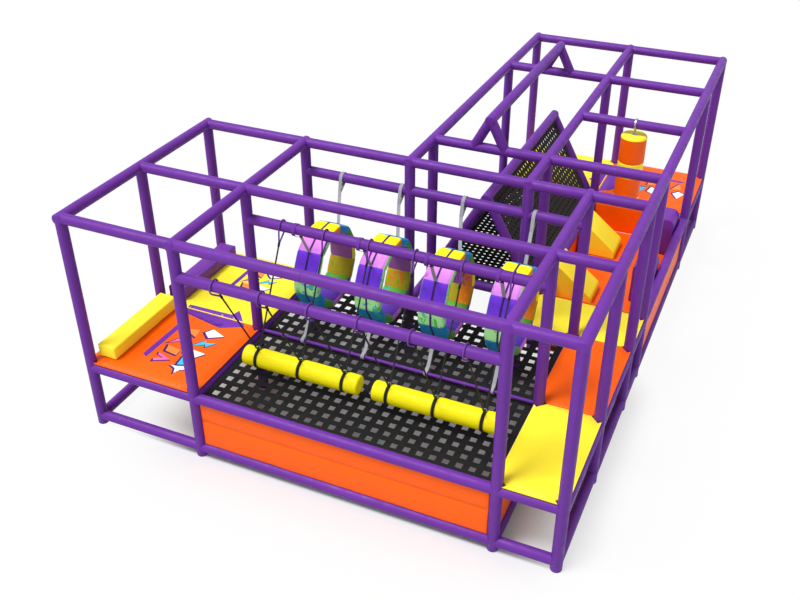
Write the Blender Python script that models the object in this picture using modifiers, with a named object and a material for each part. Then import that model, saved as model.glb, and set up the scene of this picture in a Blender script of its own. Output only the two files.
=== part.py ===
"""Indoor playground frame with padded decks, swinging logs, crawl hoops, a sunken
pit with a punching bag, and a net-covered A-frame tunnel.

Units are metres, +Z is up.  The model stands on z = 0, and its origin is the
middle of its footprint.  +X runs to the right along the front, +Y to the back.
"""
import math

import bmesh
import bpy
from mathutils import Matrix, Vector

# Plan of the frame: distances between tube centre lines
LEFT_BAY_WIDTH = 1.22
CENTRE_BAY_WIDTH = 3.065
RIGHT_BAY_WIDTH = 0.585
PIT_BAY_WIDTH = 1.18
TUNNEL_BAY_WIDTH = 1.26
FRONT_BAY_DEPTH = 1.19
REAR_BAY_DEPTH = 1.20
LINK_BAY_DEPTH = 0.63
PIT_FRONT_DEPTH = 1.265
PIT_REAR_DEPTH = 1.26
END_BAY_DEPTH = 1.21

# Heights of the tube centre lines
TOP_Z = 2.40
GUARD_Z = 2.076
DECK_Z = 0.713
FLOOR_RAIL_Z = 0.10

# Foam-sleeved tubes
POST_R = 0.055
SIDE_RAIL_R = 0.0535
RAIL_R = 0.053
TUBE_RES = 2
JOIN_LAP = 0.002
CUT_OVERRUN = 0.10
GAP = 0.0003

# Thin rail across the middle of the net floor
THIN_RAIL_R = 0.018
THIN_RAIL_Z = 0.765

# Pads on the decks
MAT_EDGE_T = 0.020
MAT_CROWN = 0.030
MAT_ROLL = 0.10
MAT_OVERHANG = 0.030
MAT_SIDE_INSET = 0.015
MAT_POST_CLEAR = 0.0015
BOLSTER_WIDTH = 0.215
BOLSTER_HEIGHT = 0.150
BOLSTER_LENGTH = 1.06
BOLSTER_Y = 0.062
BOLSTER_ROUND = 0.018

# Net floor of the centre bay
NET_T = 0.012
NET_STRAP = 0.060
NET_COLUMNS = 11
NET_ROWS = 8
NET_REAR_CLEAR = 0.006

# Skirts under the deck
SKIRT_T = 0.030
SKIRT_CREASE_DEPTH = 0.006
SKIRT_CREASE_DROP = 0.215

# Swinging logs
LOG_R = 0.100
LOG_LENGTH = 1.25
LOG_Z = 0.905
LOG_ROUND = 0.022
LOG_FIRST_X = 0.86
LOG_PITCH = 1.40
BAND_PITCH = 0.47
BAND_WIDTH = 0.032
BAND_T = 0.004
STAPLE_WIRE_R = 0.004
STAPLE_R = 0.016
STAPLE_SINK = 0.006
ROPE_PLAY = 0.0006
ROPE_R = 0.008
ROPE_SEAT = 0.060
LOOP_INNER_R = 0.060
LOOP_SEGMENTS = 12

# Crawl hoops
HOOP_COUNT = 4
HOOP_FIRST_X = 0.51
HOOP_PITCH = 0.687
HOOP_R = 0.46
HOOP_WALL = 0.09
HOOP_WIDTH = 0.28
HOOP_Z = 1.345
HOOP_SIDES = 12
STRAP_W = 0.038
STRAP_T = 0.004
STRAP_HANG_PLAY = 0.00085
STRAP_LOOP_R = 0.060
LOW_LOOP_R = 0.028
LOW_LOOP_PLAY = 0.005
FRONT_STRAP_X = 0.030
REAR_STRAP_X = -0.070
STRAP_POST_CLEAR = 0.010

# Sunken pit
PIT_FLOOR_Z = 0.40
PIT_PANEL_T = 0.040
PIT_RISER_T = 0.030
WEDGE_TOP_Z = 0.87
WEDGE_LENGTH = 0.455
WEDGE_NOSE_R = 0.07
WEDGE_WIDTH = 0.42
WEDGE_NEAR_Y = 0.56
WEDGE_FAR_Y = 1.71
BLOCK_WIDTH = 0.25
BLOCK_DEPTH = 0.36
BLOCK_HEIGHT = 0.50
BLOCK_ROUND = 0.085
BLOCK_NEAR_Y = 0.85

# Punching bag
BAG_R = 0.145
BAG_TOP_Z = 2.285
BAG_LENGTH = 0.79
BAG_ROUND = 0.035
BAG_X = 0.62
HANGER_WIRE_R = 0.006
HANGER_PIN_R = 0.006
HANGER_PIN_DROP = 0.022
HANGER_CHEEK_T = 0.005
HANGER_FORK_W = 0.022
HANGER_PLAY = 0.0008
BAG_EYE_WIRE_R = 0.004
BAG_EYE_R = 0.0125

# A-frame tunnel and the ridge beam over it
RIDGE_X = 0.63
TUNNEL_RIDGE_Z = 1.83
RIDGE_END = 0.05
SLOPE_NET_T = 0.012
SLOPE_STRAP = 0.085
SLOPE_COLUMNS = 7
SLOPE_ROWS = 4
TUNNEL_NET_COLUMNS = 4
TUNNEL_NET_ROWS = 6
BEAM_RISE = 0.32
BEAM_FOOT_SPREAD = 0.17

# Plan lines worked out from the bays
X0 = 0.0
X1 = X0 + LEFT_BAY_WIDTH
X2 = X1 + CENTRE_BAY_WIDTH
X3 = X2 + RIGHT_BAY_WIDTH
XB = X3 - PIT_BAY_WIDTH
XA = XB - TUNNEL_BAY_WIDTH
Y0 = 0.0
Y1 = Y0 + FRONT_BAY_DEPTH
Y2 = Y1 + REAR_BAY_DEPTH
Y3 = Y2 + LINK_BAY_DEPTH
Y4 = Y3 + PIT_FRONT_DEPTH
Y5 = Y4 + PIT_REAR_DEPTH
Y6 = Y5 + END_BAY_DEPTH
RIDGE = XA + RIDGE_X
BEAM_Z = TOP_Z + BEAM_RISE

# The log ropes' loops stand furthest out at the front
FRONT_REACH = LOOP_INNER_R + 2.0 * ROPE_R
ORIGIN = Vector(((X0 + X3) / 2.0, (Y6 + POST_R - FRONT_REACH) / 2.0, 0.0))
POSTS = [(X0, Y0), (X0, Y1), (X0, Y2), (X1, Y0), (X1, Y1), (X1, Y2),
         (X2, Y0), (X2, Y1), (X2, Y2), (X3, Y0), (X3, Y1), (X3, Y2), (X3, Y3),
         (X3, Y5), (X3, Y6), (XB, Y2), (XB, Y3), (XB, Y5), (XB, Y6),
         (XA, Y2), (XA, Y3), (XA, Y5), (XA, Y6)]

PURPLE = (0.19, 0.045, 0.42, 1.0)
ORANGE = (0.95, 0.15, 0.008, 1.0)
YELLOW = (0.95, 0.72, 0.03, 1.0)
BLACK = (0.012, 0.012, 0.013, 1.0)
GREY = (0.38, 0.38, 0.38, 1.0)
BLUE = (0.02, 0.36, 0.72, 1.0)
STEEL = (0.55, 0.56, 0.58, 1.0)


def clear_scene():
    """Remove everything that the file starts with."""
    for obj in list(bpy.data.objects):
        bpy.data.objects.remove(obj, do_unlink=True)


def material(name, colour, rough, metal=0.0):
    """Return a Principled material, made once for each name."""
    mat = bpy.data.materials.get(name)
    if mat is None:
        mat = bpy.data.materials.new(name)
        mat.use_nodes = True
        shader = mat.node_tree.nodes["Principled BSDF"]
        shader.inputs["Base Color"].default_value = colour
        shader.inputs["Roughness"].default_value = rough
        shader.inputs["Metallic"].default_value = metal
        mat.diffuse_color = colour
    return mat


clear_scene()
PARTS = bpy.data.collections.new("indoor_playground")
CUTTERS = bpy.data.collections.new("cutters")
bpy.context.scene.collection.children.link(PARTS)
bpy.context.scene.collection.children.link(CUTTERS)
FOAM = material("purple_foam_sleeve", PURPLE, 0.55)
VINYL_ORANGE = material("orange_vinyl", ORANGE, 0.45)
VINYL_YELLOW = material("yellow_vinyl", YELLOW, 0.45)
VINYL_PURPLE = material("purple_vinyl", PURPLE, 0.45)
VINYL_BLUE = material("blue_vinyl", BLUE, 0.45)
WEBBING = material("black_webbing", BLACK, 0.85)
STRAPPING = material("grey_strapping", GREY, 0.75)
METAL = material("zinc_steel", STEEL, 0.35, 1.0)


def new_object(name, mesh, mat):
    """Link a mesh object to the scene root, as loose working stock."""
    obj = bpy.data.objects.new(name, mesh)
    if mat is not None:
        obj.data.materials.clear()
        obj.data.materials.append(mat)
    bpy.context.scene.collection.objects.link(obj)
    return obj


def drop(obj):
    """Remove a working object."""
    bpy.data.objects.remove(obj, do_unlink=True)


def evaluated_copy(obj, name):
    """Turn an object with its modifiers into a plain mesh object, caps welded."""
    bpy.context.view_layer.update()
    graph = bpy.context.evaluated_depsgraph_get()
    mesh = bpy.data.meshes.new_from_object(obj.evaluated_get(graph))
    work = bmesh.new()
    work.from_mesh(mesh)
    bmesh.ops.remove_doubles(work, verts=work.verts, dist=0.00001)
    bmesh.ops.recalc_face_normals(work, faces=work.faces)
    work.to_mesh(mesh)
    work.free()
    made = bpy.data.objects.new(name, mesh)
    made.matrix_world = obj.matrix_world.copy()
    bpy.context.scene.collection.objects.link(made)
    drop(obj)
    return made


def tube(points, radius, resolution=TUBE_RES):
    """A round tube along straight runs, from a bevelled curve with filled caps."""
    curve = bpy.data.curves.new("tube", "CURVE")
    curve.dimensions = "3D"
    curve.bevel_depth = radius
    curve.bevel_resolution = resolution
    curve.use_fill_caps = True
    curve.render_resolution_u = 0
    line = curve.splines.new("POLY")
    line.points.add(len(points) - 1)
    for point, place in zip(line.points, points):
        point.co = (place[0], place[1], place[2], 1.0)
    obj = bpy.data.objects.new("tube", curve)
    bpy.context.scene.collection.objects.link(obj)
    return evaluated_copy(obj, "tube")


def along_x(start, end, y, z, radius=RAIL_R):
    """A rail along X between two plan lines."""
    return tube([(start, y, z), (end, y, z)], radius)


def along_y(x, start, end, z, radius=SIDE_RAIL_R):
    """A rail along Y between two plan lines."""
    return tube([(x, start, z), (x, end, z)], radius)


def post(x, y):
    """An upright from the floor to just over the centre line of the top rails."""
    return tube([(x, y, 0.0), (x, y, TOP_Z + JOIN_LAP)], POST_R)


def box(low, high):
    """A box between two corners."""
    work = bmesh.new()
    bmesh.ops.create_cube(work, size=1.0)
    size = Vector(high) - Vector(low)
    centre = (Vector(high) + Vector(low)) / 2.0
    bmesh.ops.scale(work, vec=size, verts=work.verts)
    bmesh.ops.translate(work, vec=centre, verts=work.verts)
    mesh = bpy.data.meshes.new("box")
    work.to_mesh(mesh)
    work.free()
    return new_object("box", mesh, None)


def ring(centre, normal, inner, outer, width, segments):
    """A flat ring of square section about an axis."""
    work = bmesh.new()
    bmesh.ops.create_cone(work, cap_ends=True, segments=segments, radius1=outer,
                          radius2=outer, depth=width)
    outer_mesh = bpy.data.meshes.new("ring")
    work.to_mesh(outer_mesh)
    work.free()
    body = new_object("ring", outer_mesh, None)
    work = bmesh.new()
    bmesh.ops.create_cone(work, cap_ends=True, segments=segments, radius1=inner,
                          radius2=inner, depth=width * 2.0)
    inner_mesh = bpy.data.meshes.new("ring_bore")
    work.to_mesh(inner_mesh)
    work.free()
    bore = new_object("ring_bore", inner_mesh, None)
    turn = Vector((0.0, 0.0, 1.0)).rotation_difference(Vector(normal)).to_matrix()
    place = Matrix.Translation(Vector(centre)) @ turn.to_4x4()
    body.matrix_world = place
    bore.matrix_world = place
    return joined([body], [bore], "ring")


def torus(centre, axis, major, minor, major_segments=LOOP_SEGMENTS, minor_segments=6):
    """A round ring about the X or Y axis."""
    turn = (0.0, math.pi / 2.0, 0.0) if axis == "X" else (math.pi / 2.0, 0.0, 0.0)
    bpy.ops.mesh.primitive_torus_add(location=centre, rotation=turn,
                                     major_radius=major, minor_radius=minor,
                                     major_segments=major_segments,
                                     minor_segments=minor_segments)
    obj = bpy.context.active_object
    for home in list(obj.users_collection):
        home.objects.unlink(obj)
    bpy.context.scene.collection.objects.link(obj)
    return obj


def joined(pieces, cutters, name):
    """Unite the pieces, cut them, and return one mesh object in world space."""
    base = pieces[0]
    for other in pieces[1:]:
        step = base.modifiers.new("unite", "BOOLEAN")
        step.operation = "UNION"
        step.solver = "EXACT"
        step.object = other
    for cutter in cutters:
        step = base.modifiers.new("cut", "BOOLEAN")
        step.operation = "DIFFERENCE"
        step.solver = "EXACT"
        step.object = cutter
    bpy.context.view_layer.update()
    graph = bpy.context.evaluated_depsgraph_get()
    mesh = bpy.data.meshes.new_from_object(base.evaluated_get(graph))
    mesh.transform(base.matrix_world)
    work = bmesh.new()
    work.from_mesh(mesh)
    bmesh.ops.remove_doubles(work, verts=work.verts, dist=0.00001)
    bmesh.ops.dissolve_degenerate(work, dist=0.00001, edges=work.edges)
    work.to_mesh(mesh)
    work.free()
    for obj in pieces + cutters:
        drop(obj)
    made = bpy.data.objects.new(name, mesh)
    bpy.context.scene.collection.objects.link(made)
    return made


def finish(obj, name, mat, pivot=None, smooth=True):
    """Name a part, give it its material, and set its origin on its pivot."""
    bpy.context.view_layer.update()
    mesh = obj.data
    mesh.transform(obj.matrix_world)
    obj.matrix_world = Matrix.Identity(4)
    home = Vector(pivot) if pivot is not None else ORIGIN
    mesh.transform(Matrix.Translation(-home))
    obj.location = home - ORIGIN
    obj.name = name
    mesh.name = name
    mesh.materials.clear()
    mesh.materials.append(mat)
    if smooth:
        mesh.shade_smooth()
        mesh.set_sharp_from_angle(angle=math.radians(40.0))
    for home_collection in list(obj.users_collection):
        home_collection.objects.unlink(obj)
    PARTS.objects.link(obj)
    return obj


def post_cutter(x, y):
    """A cutter that leaves the clearance round an upright."""
    return tube([(x, y, -0.1), (x, y, TOP_Z + RAIL_R)], POST_R + GAP)


def rail_cutter_y(x, start, end, z):
    """A cutter that leaves the clearance round a rail along Y."""
    return along_y(x, start, end, z, SIDE_RAIL_R + GAP)


def rail_cutter_x(start, end, y, z):
    """A cutter that leaves the clearance round a rail along X."""
    return along_x(start, end, y, z, RAIL_R + GAP)


def side_frame(name, x, rows, y_rails, x_rails, cutters):
    """Uprights in one plane across the frame, their rails and the rails beside them."""
    pieces = [post(x, y) for y in rows]
    for start, end, z in y_rails:
        pieces.append(along_y(x, start - JOIN_LAP, end + JOIN_LAP, z))
    for end, y, z in x_rails:
        pieces.append(along_x(x - JOIN_LAP, end, y, z))
    return finish(joined(pieces, cutters, name), name, FOAM)


def neighbour_cutters(x, rows, start, end, heights):
    """Clearance round the next side frame, for the rails that end on it."""
    cutters = [post_cutter(x, y) for y in rows]
    for z in heights:
        cutters.append(rail_cutter_y(x, start - CUT_OVERRUN, end + CUT_OVERRUN, z))
    return cutters


def build_frame():
    """The foam-sleeved tube frame: seven side frames and the rails between them."""
    reach = SIDE_RAIL_R - JOIN_LAP
    fronts = (Y0, Y1, Y2)
    x_rails = [(X1, y, z) for z in (TOP_Z, DECK_Z) for y in fronts]
    side_frame("side_frame_left", X0, fronts,
               ((Y0 - reach, Y2 + reach, TOP_Z), (Y0, Y2, DECK_Z), (Y0, Y2, FLOOR_RAIL_Z)),
               x_rails + [(X1, Y0, FLOOR_RAIL_Z)],
               neighbour_cutters(X1, fronts, Y0 - reach, Y2 + reach, (TOP_Z, DECK_Z)))
    cutters = neighbour_cutters(XA, (Y2,), Y2 - reach, Y3, (TOP_Z, DECK_Z))
    cutters += neighbour_cutters(X2, (Y0,), Y0, Y1, (DECK_Z, FLOOR_RAIL_Z))
    side_frame("side_frame_inner_left", X1, fronts,
               ((Y0 - reach, Y2 + reach, TOP_Z), (Y0, Y2, DECK_Z)),
               ((XA, Y2, TOP_Z), (XA, Y2, GUARD_Z), (XA, Y2, DECK_Z),
                (X2, Y0, DECK_Z), (X2, Y0, FLOOR_RAIL_Z)), cutters)
    x_rails = [(X3, y, z) for z in (TOP_Z, DECK_Z) for y in fronts]
    side_frame("side_frame_inner_right", X2, fronts,
               ((Y0 - reach, Y2 + reach, TOP_Z), (Y0, Y2, DECK_Z), (Y0, Y2, FLOOR_RAIL_Z)),
               x_rails + [(X3, Y0, FLOOR_RAIL_Z)],
               neighbour_cutters(X3, fronts, Y0 - reach, Y3 + POST_R,
                                 (TOP_Z, DECK_Z, FLOOR_RAIL_Z)))
    side_frame("side_frame_right", X3, (Y0, Y1, Y2, Y3),
               ((Y0 - reach, Y3 + POST_R - JOIN_LAP, TOP_Z), (Y0, Y3, DECK_Z),
                (Y0, Y3, FLOOR_RAIL_Z)), (), [])
    wing = [post(X3, Y5), post(X3, Y6)]
    wing.append(along_y(X3, Y3 + POST_R + GAP, Y6 + SIDE_RAIL_R, TOP_Z))
    wing.append(along_y(X3, Y3, Y6 + JOIN_LAP, DECK_Z))
    wing.append(along_y(X3, Y3, Y6 + JOIN_LAP, FLOOR_RAIL_Z))
    stop = tube([(X3, Y3, -0.1), (X3, Y3, (TOP_Z + DECK_Z) / 2.0)], POST_R + GAP)
    finish(joined(wing, [stop], "side_frame_wing"), "side_frame_wing", FOAM)
    rears = (Y3, Y5, Y6)
    x_rails = [(X3, y, z) for z in (TOP_Z, DECK_Z) for y in rears]
    side_frame("side_frame_pit", XB, (Y2,) + rears,
               ((Y2 - reach, Y6 + reach, TOP_Z), (Y2, Y6, DECK_Z)),
               x_rails + [(X2, Y2, TOP_Z), (X2, Y2, GUARD_Z), (X2, Y2, DECK_Z)],
               neighbour_cutters(X2, (Y2,), Y1, Y2 + reach, (TOP_Z, DECK_Z))
               + neighbour_cutters(X3, rears, Y2, Y6 + reach, (TOP_Z, DECK_Z)))
    x_rails = [(XB, y, z) for z in (TOP_Z, DECK_Z) for y in (Y2,) + rears]
    side_frame("side_frame_tunnel", XA, (Y2,) + rears,
               ((Y2 - reach, Y6 + reach, TOP_Z), (Y2, Y6, DECK_Z)),
               x_rails + [(XB, Y2, GUARD_Z)],
               neighbour_cutters(XB, (Y2,) + rears, Y2 - reach, Y6 + reach, (TOP_Z, DECK_Z)))

    for name, y, z in (("top_rail_front", Y0, TOP_Z), ("top_rail_middle", Y1, TOP_Z),
                       ("guard_rail_front", Y0, GUARD_Z), ("guard_rail_middle", Y1, GUARD_Z)):
        cutters = [post_cutter(X1, y), post_cutter(X2, y)]
        if z == TOP_Z:
            cutters.append(rail_cutter_y(X1, Y0 - CUT_OVERRUN, Y2, z))
            cutters.append(rail_cutter_y(X2, Y0 - CUT_OVERRUN, Y2, z))
        rail = joined([along_x(X1, X2, y, z)], cutters, name)
        finish(rail, name, FOAM)
    cutters = [rail_cutter_y(XB, Y3, Y5, TOP_Z), rail_cutter_y(X3, Y3, Y5, TOP_Z)]
    finish(joined([along_x(XB, X3, Y4, TOP_Z)], cutters, "bag_rail"), "bag_rail", FOAM)
    cutters = [post_cutter(X1, Y1), post_cutter(X2, Y1)]
    rail = tube([(X1, Y1, THIN_RAIL_Z), (X2, Y1, THIN_RAIL_Z)], THIN_RAIL_R, 2)
    finish(joined([rail], cutters, "net_cross_rail"), "net_cross_rail", FOAM)


def pad_mesh(low, high, bottom):
    """A flat pad with a crowned top, rolled edges and drawn-in sides."""
    insets = (0.0, 0.3 * MAT_ROLL, MAT_ROLL)
    count = 2 * len(insets)
    half = ((high[0] - low[0]) / 2.0, (high[1] - low[1]) / 2.0)
    centre = ((high[0] + low[0]) / 2.0, (high[1] + low[1]) / 2.0)
    work = bmesh.new()
    bmesh.ops.create_grid(work, x_segments=count, y_segments=count, size=1.0)

    def place(step, length):
        """Place of a grid line, with the lines close together near the rolled edge."""
        index = int(round(abs(step) * count / 2.0))
        if index == 0:
            return 0.0
        return math.copysign(length - insets[count // 2 - index], step)

    for vert in work.verts:
        x = place(vert.co.x, half[0])
        y = place(vert.co.y, half[1])
        edge = min(half[0] - abs(x), half[1] - abs(y))
        rise = math.sin(math.pi / 2.0 * min(max(edge, 0.0) / MAT_ROLL, 1.0))
        vert.co = Vector((centre[0] + x, centre[1] + y,
                          bottom + MAT_EDGE_T + MAT_CROWN * rise))
    outline = [edge for edge in work.edges if edge.is_boundary]
    made = bmesh.ops.extrude_edge_only(work, edges=outline)
    low_verts = [item for item in made["geom"] if isinstance(item, bmesh.types.BMVert)]
    for vert in low_verts:
        vert.co.z = bottom
        vert.co.x = centre[0] + (vert.co.x - centre[0]) * (1.0 - MAT_SIDE_INSET / half[0])
        vert.co.y = centre[1] + (vert.co.y - centre[1]) * (1.0 - MAT_SIDE_INSET / half[1])
    rim = [edge for edge in work.edges if edge.is_boundary]
    bmesh.ops.contextual_create(work, geom=rim)
    bmesh.ops.recalc_face_normals(work, faces=work.faces)
    mesh = bpy.data.meshes.new("pad")
    work.to_mesh(mesh)
    work.free()
    return new_object("pad", mesh, None)


def post_notch(x, y, bottom):
    """A square cutter turned 45 degrees, so a pad's corner is cut off round a post."""
    side = 2.0 * (POST_R + MAT_POST_CLEAR)
    work = bmesh.new()
    bmesh.ops.create_cube(work, size=1.0)
    bmesh.ops.scale(work, vec=(side, side, 0.4), verts=work.verts)
    bmesh.ops.rotate(work, matrix=Matrix.Rotation(math.radians(45.0), 3, "Z"), verts=work.verts)
    bmesh.ops.translate(work, vec=(x, y, bottom), verts=work.verts)
    mesh = bpy.data.meshes.new("notch")
    work.to_mesh(mesh)
    work.free()
    return new_object("notch", mesh, None)


def mat(name, low, high, colour):
    """A deck pad that lies on the deck rails, cut off at the corners round the posts."""
    bottom = DECK_Z + SIDE_RAIL_R + GAP
    pad = pad_mesh(low, high, bottom)
    near = 2.0 * POST_R
    notches = [post_notch(x, y, bottom) for x, y in POSTS
               if low[0] - near < x < high[0] + near and low[1] - near < y < high[1] + near]
    return finish(joined([pad], notches, name), name, colour)


def build_mats():
    """The seven deck pads and the two bolsters on the left deck."""
    over = MAT_OVERHANG
    half_gap = GAP / 2.0
    mat("mat_left_front", (X0 - over, Y0 - over), (X1 + over, Y1 - half_gap), VINYL_ORANGE)
    mat("mat_left_rear", (X0 - over, Y1 + half_gap), (X1 + over, Y2 + over), VINYL_YELLOW)
    mat("mat_right_front", (X2 - over, Y0 - over), (X3 + over, Y1 - half_gap), VINYL_YELLOW)
    mat("mat_right_middle", (X2 - over, Y1 + half_gap), (X3 + over, Y2 - half_gap), VINYL_ORANGE)
    mat("mat_right_rear", (XB, Y2 + half_gap), (X3 + over, Y3 - half_gap), VINYL_YELLOW)
    mat("mat_end_right", (XB + half_gap, Y5 + half_gap), (X3 + over, Y6 + over), VINYL_ORANGE)
    mat("mat_end_left", (XA - over, Y5 + SIDE_RAIL_R + GAP), (XB - half_gap, Y6 + over),
        VINYL_YELLOW)
    top = DECK_Z + SIDE_RAIL_R + GAP + MAT_EDGE_T + MAT_CROWN + GAP
    for name, start, colour in (("bolster_yellow", Y0 + BOLSTER_Y, VINYL_YELLOW),
                                ("bolster_purple", Y1 + BOLSTER_Y, VINYL_PURPLE)):
        left = X0 + POST_R + GAP
        body = box((left, start, top),
                   (left + BOLSTER_WIDTH, start + BOLSTER_LENGTH, top + BOLSTER_HEIGHT))
        rounding = body.modifiers.new("rounded_edges", "BEVEL")
        rounding.width = BOLSTER_ROUND
        rounding.segments = 2
        finish(evaluated_copy(body, name), name, colour)


def grid_net(length, width, columns, rows, strap, thickness):
    """A flat net of crossing straps with square gaps, centred on its own origin."""
    work = bmesh.new()
    bmesh.ops.create_grid(work, x_segments=2 * columns + 1, y_segments=2 * rows + 1, size=1.0)
    hole_x = (length - (columns + 1) * strap) / columns
    hole_y = (width - (rows + 1) * strap) / rows

    def line(step, count, hole, total):
        """Place of the grid line with this number, straps and gaps in turn."""
        index = int(round((step + 1.0) / 2.0 * (2 * count + 1)))
        return (index + 1) // 2 * strap + index // 2 * hole - total / 2.0

    for vert in work.verts:
        vert.co = Vector((line(vert.co.x, columns, hole_x, length),
                          line(vert.co.y, rows, hole_y, width), 0.0))
    holes = []
    for face in work.faces:
        centre = face.calc_center_median()
        column = ((centre.x + length / 2.0) / (strap + hole_x)) % 1.0
        row = ((centre.y + width / 2.0) / (strap + hole_y)) % 1.0
        if column > strap / (strap + hole_x) and row > strap / (strap + hole_y):
            holes.append(face)
    bmesh.ops.delete(work, geom=holes, context="FACES_ONLY")
    mesh = bpy.data.meshes.new("net")
    work.to_mesh(mesh)
    work.free()
    obj = new_object("net", mesh, None)
    body = obj.modifiers.new("thickness", "SOLIDIFY")
    body.thickness = thickness
    body.offset = 0.0
    return evaluated_copy(obj, "net")


def build_nets():
    """The net floor of the centre bay and its orange skirts."""
    clear = POST_R + GAP
    length = X2 - X1 - 2.0 * clear
    front = Y0 + RAIL_R + GAP
    rear = Y2 - RAIL_R - GAP - NET_REAR_CLEAR
    net = grid_net(length, rear - front, NET_COLUMNS, NET_ROWS, NET_STRAP, NET_T)
    net.location = ((X1 + X2) / 2.0, (front + rear) / 2.0, DECK_Z)
    finish(net, "net_floor", WEBBING, smooth=False)

    low = FLOOR_RAIL_Z + RAIL_R + GAP
    high = DECK_Z - RAIL_R - GAP
    half = SKIRT_T / 2.0
    crease_z = high - SKIRT_CREASE_DROP
    panel = box((X1 + clear, Y0 - half, low), (X2 - clear, Y0 + half, high))
    crease = box((X1, Y0 - half - 0.02, crease_z - 0.002),
                 (X2, Y0 - half + SKIRT_CREASE_DEPTH, crease_z + 0.002))
    finish(joined([panel], [crease], "skirt_front"), "skirt_front", VINYL_ORANGE, smooth=False)
    low = FLOOR_RAIL_Z + SIDE_RAIL_R + GAP
    high = DECK_Z - SIDE_RAIL_R - GAP
    panel = box((X2 - half, Y0 + clear, low), (X2 + half, Y1 - clear, high))
    crease = box((X2 + half - SKIRT_CREASE_DEPTH, Y0, crease_z - 0.002),
                 (X2 + half + 0.02, Y1, crease_z + 0.002))
    finish(joined([panel], [crease], "skirt_side"), "skirt_side", VINYL_ORANGE, smooth=False)


def log_profile():
    """Half outline of a log: rounded ends and three raised bands."""
    half = LOG_LENGTH / 2.0
    shoulder = LOG_R - LOG_ROUND
    points = [(-half, 0.0)]
    for step in range(3):
        angle = math.radians(45.0 * step)
        points.append((-half + LOG_ROUND * (1.0 - math.cos(angle)),
                       shoulder + LOG_ROUND * math.sin(angle)))
    for centre in (-BAND_PITCH, 0.0, BAND_PITCH):
        left = centre - BAND_WIDTH / 2.0
        right = centre + BAND_WIDTH / 2.0
        points += [(left, LOG_R), (left, LOG_R + BAND_T), (right, LOG_R + BAND_T), (right, LOG_R)]
    for step in range(3):
        angle = math.radians(45.0 * step)
        points.append((half - LOG_ROUND * (1.0 - math.sin(angle)),
                       shoulder + LOG_ROUND * math.cos(angle)))
    points.append((half, 0.0))
    return points


def turned(points, steps):
    """Spin a half outline about the X axis into a closed solid."""
    work = bmesh.new()
    verts = [work.verts.new((x, 0.0, radius)) for x, radius in points]
    for first, second in zip(verts, verts[1:]):
        work.edges.new((first, second))
    mesh = bpy.data.meshes.new("outline")
    work.to_mesh(mesh)
    work.free()
    obj = new_object("outline", mesh, None)
    spin = obj.modifiers.new("turn", "SCREW")
    spin.axis = "X"
    spin.angle = math.tau
    spin.steps = steps
    spin.render_steps = steps
    spin.use_merge_vertices = True
    spin.merge_threshold = 0.0001
    return evaluated_copy(obj, "turned")


def build_logs():
    """Two foam logs, each on three V-shaped ropes between the guard rails."""
    log_y = (Y0 + Y1) / 2.0
    band_top = LOG_Z + LOG_R + BAND_T
    staple_z = band_top - STAPLE_SINK + STAPLE_R + STAPLE_WIRE_R
    apex_z = staple_z + STAPLE_R - STAPLE_WIRE_R - ROPE_R - ROPE_PLAY
    hang_z = GUARD_Z + RAIL_R + GAP + ROPE_R
    loop_z = GUARD_Z + RAIL_R + GAP - LOOP_INNER_R
    loop_r = LOOP_INNER_R + ROPE_R
    for number, letter in enumerate("ab"):
        centre = X1 + LOG_FIRST_X + number * LOG_PITCH
        body = turned(log_profile(), 16)
        body.location = (centre, log_y, LOG_Z)
        staples = [torus((centre + shift, log_y, staple_z), "Y", STAPLE_R, STAPLE_WIRE_R, 8, 4)
                   for shift in (-BAND_PITCH, 0.0, BAND_PITCH)]
        log = joined([body] + staples, [], "log")
        finish(log, "swing_log_" + letter, VINYL_YELLOW, (centre - BAND_PITCH, log_y, apex_z))
        for index, shift in enumerate((-BAND_PITCH, 0.0, BAND_PITCH)):
            x = centre + shift
            pieces = []
            ends = []
            for rail_y in (Y0, Y1):
                pieces.append(torus((x, rail_y, loop_z), "X", loop_r, ROPE_R))
                way = Vector((0.0, log_y - rail_y, apex_z - loop_z)).normalized()
                ends.append(Vector((x, rail_y, loop_z)) + way * loop_r)
            run = [ends[0], (x, log_y - ROPE_SEAT / 2.0, apex_z),
                   (x, log_y + ROPE_SEAT / 2.0, apex_z), ends[1]]
            pieces.append(tube(run, ROPE_R, 1))
            rope = joined(pieces, [], "rope")
            name = "rope_{}{}".format(letter, index + 1)
            finish(rope, name, WEBBING, (x, log_y, hang_z))


def strap(start, end):
    """A flat strap between two points, its broad side to the front."""
    first = Vector(start)
    last = Vector(end)
    way = (last - first).normalized()
    across = (Vector((1.0, 0.0, 0.0)) - way * way.x).normalized()
    thick = way.cross(across)
    work = bmesh.new()
    bmesh.ops.create_cube(work, size=1.0)
    bmesh.ops.scale(work, vec=(STRAP_W, STRAP_T, (last - first).length), verts=work.verts)
    mesh = bpy.data.meshes.new("strap")
    work.to_mesh(mesh)
    work.free()
    obj = new_object("strap", mesh, None)
    frame = Matrix((across, thick, way)).transposed().to_4x4()
    obj.matrix_world = Matrix.Translation((first + last) / 2.0) @ frame
    return obj


def hoop_prism(centre, radius, width):
    """A solid with the hoop's twelve-sided outline."""
    work = bmesh.new()
    bmesh.ops.create_cone(work, cap_ends=True, segments=HOOP_SIDES, radius1=radius,
                          radius2=radius, depth=width)
    bmesh.ops.rotate(work, matrix=Matrix.Rotation(math.pi / 2.0, 3, "Y"), verts=work.verts)
    bmesh.ops.rotate(work, matrix=Matrix.Rotation(math.pi / HOOP_SIDES, 3, "X"),
                     verts=work.verts)
    bmesh.ops.translate(work, vec=centre, verts=work.verts)
    mesh = bpy.data.meshes.new("prism")
    work.to_mesh(mesh)
    work.free()
    return new_object("prism", mesh, None)


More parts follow.
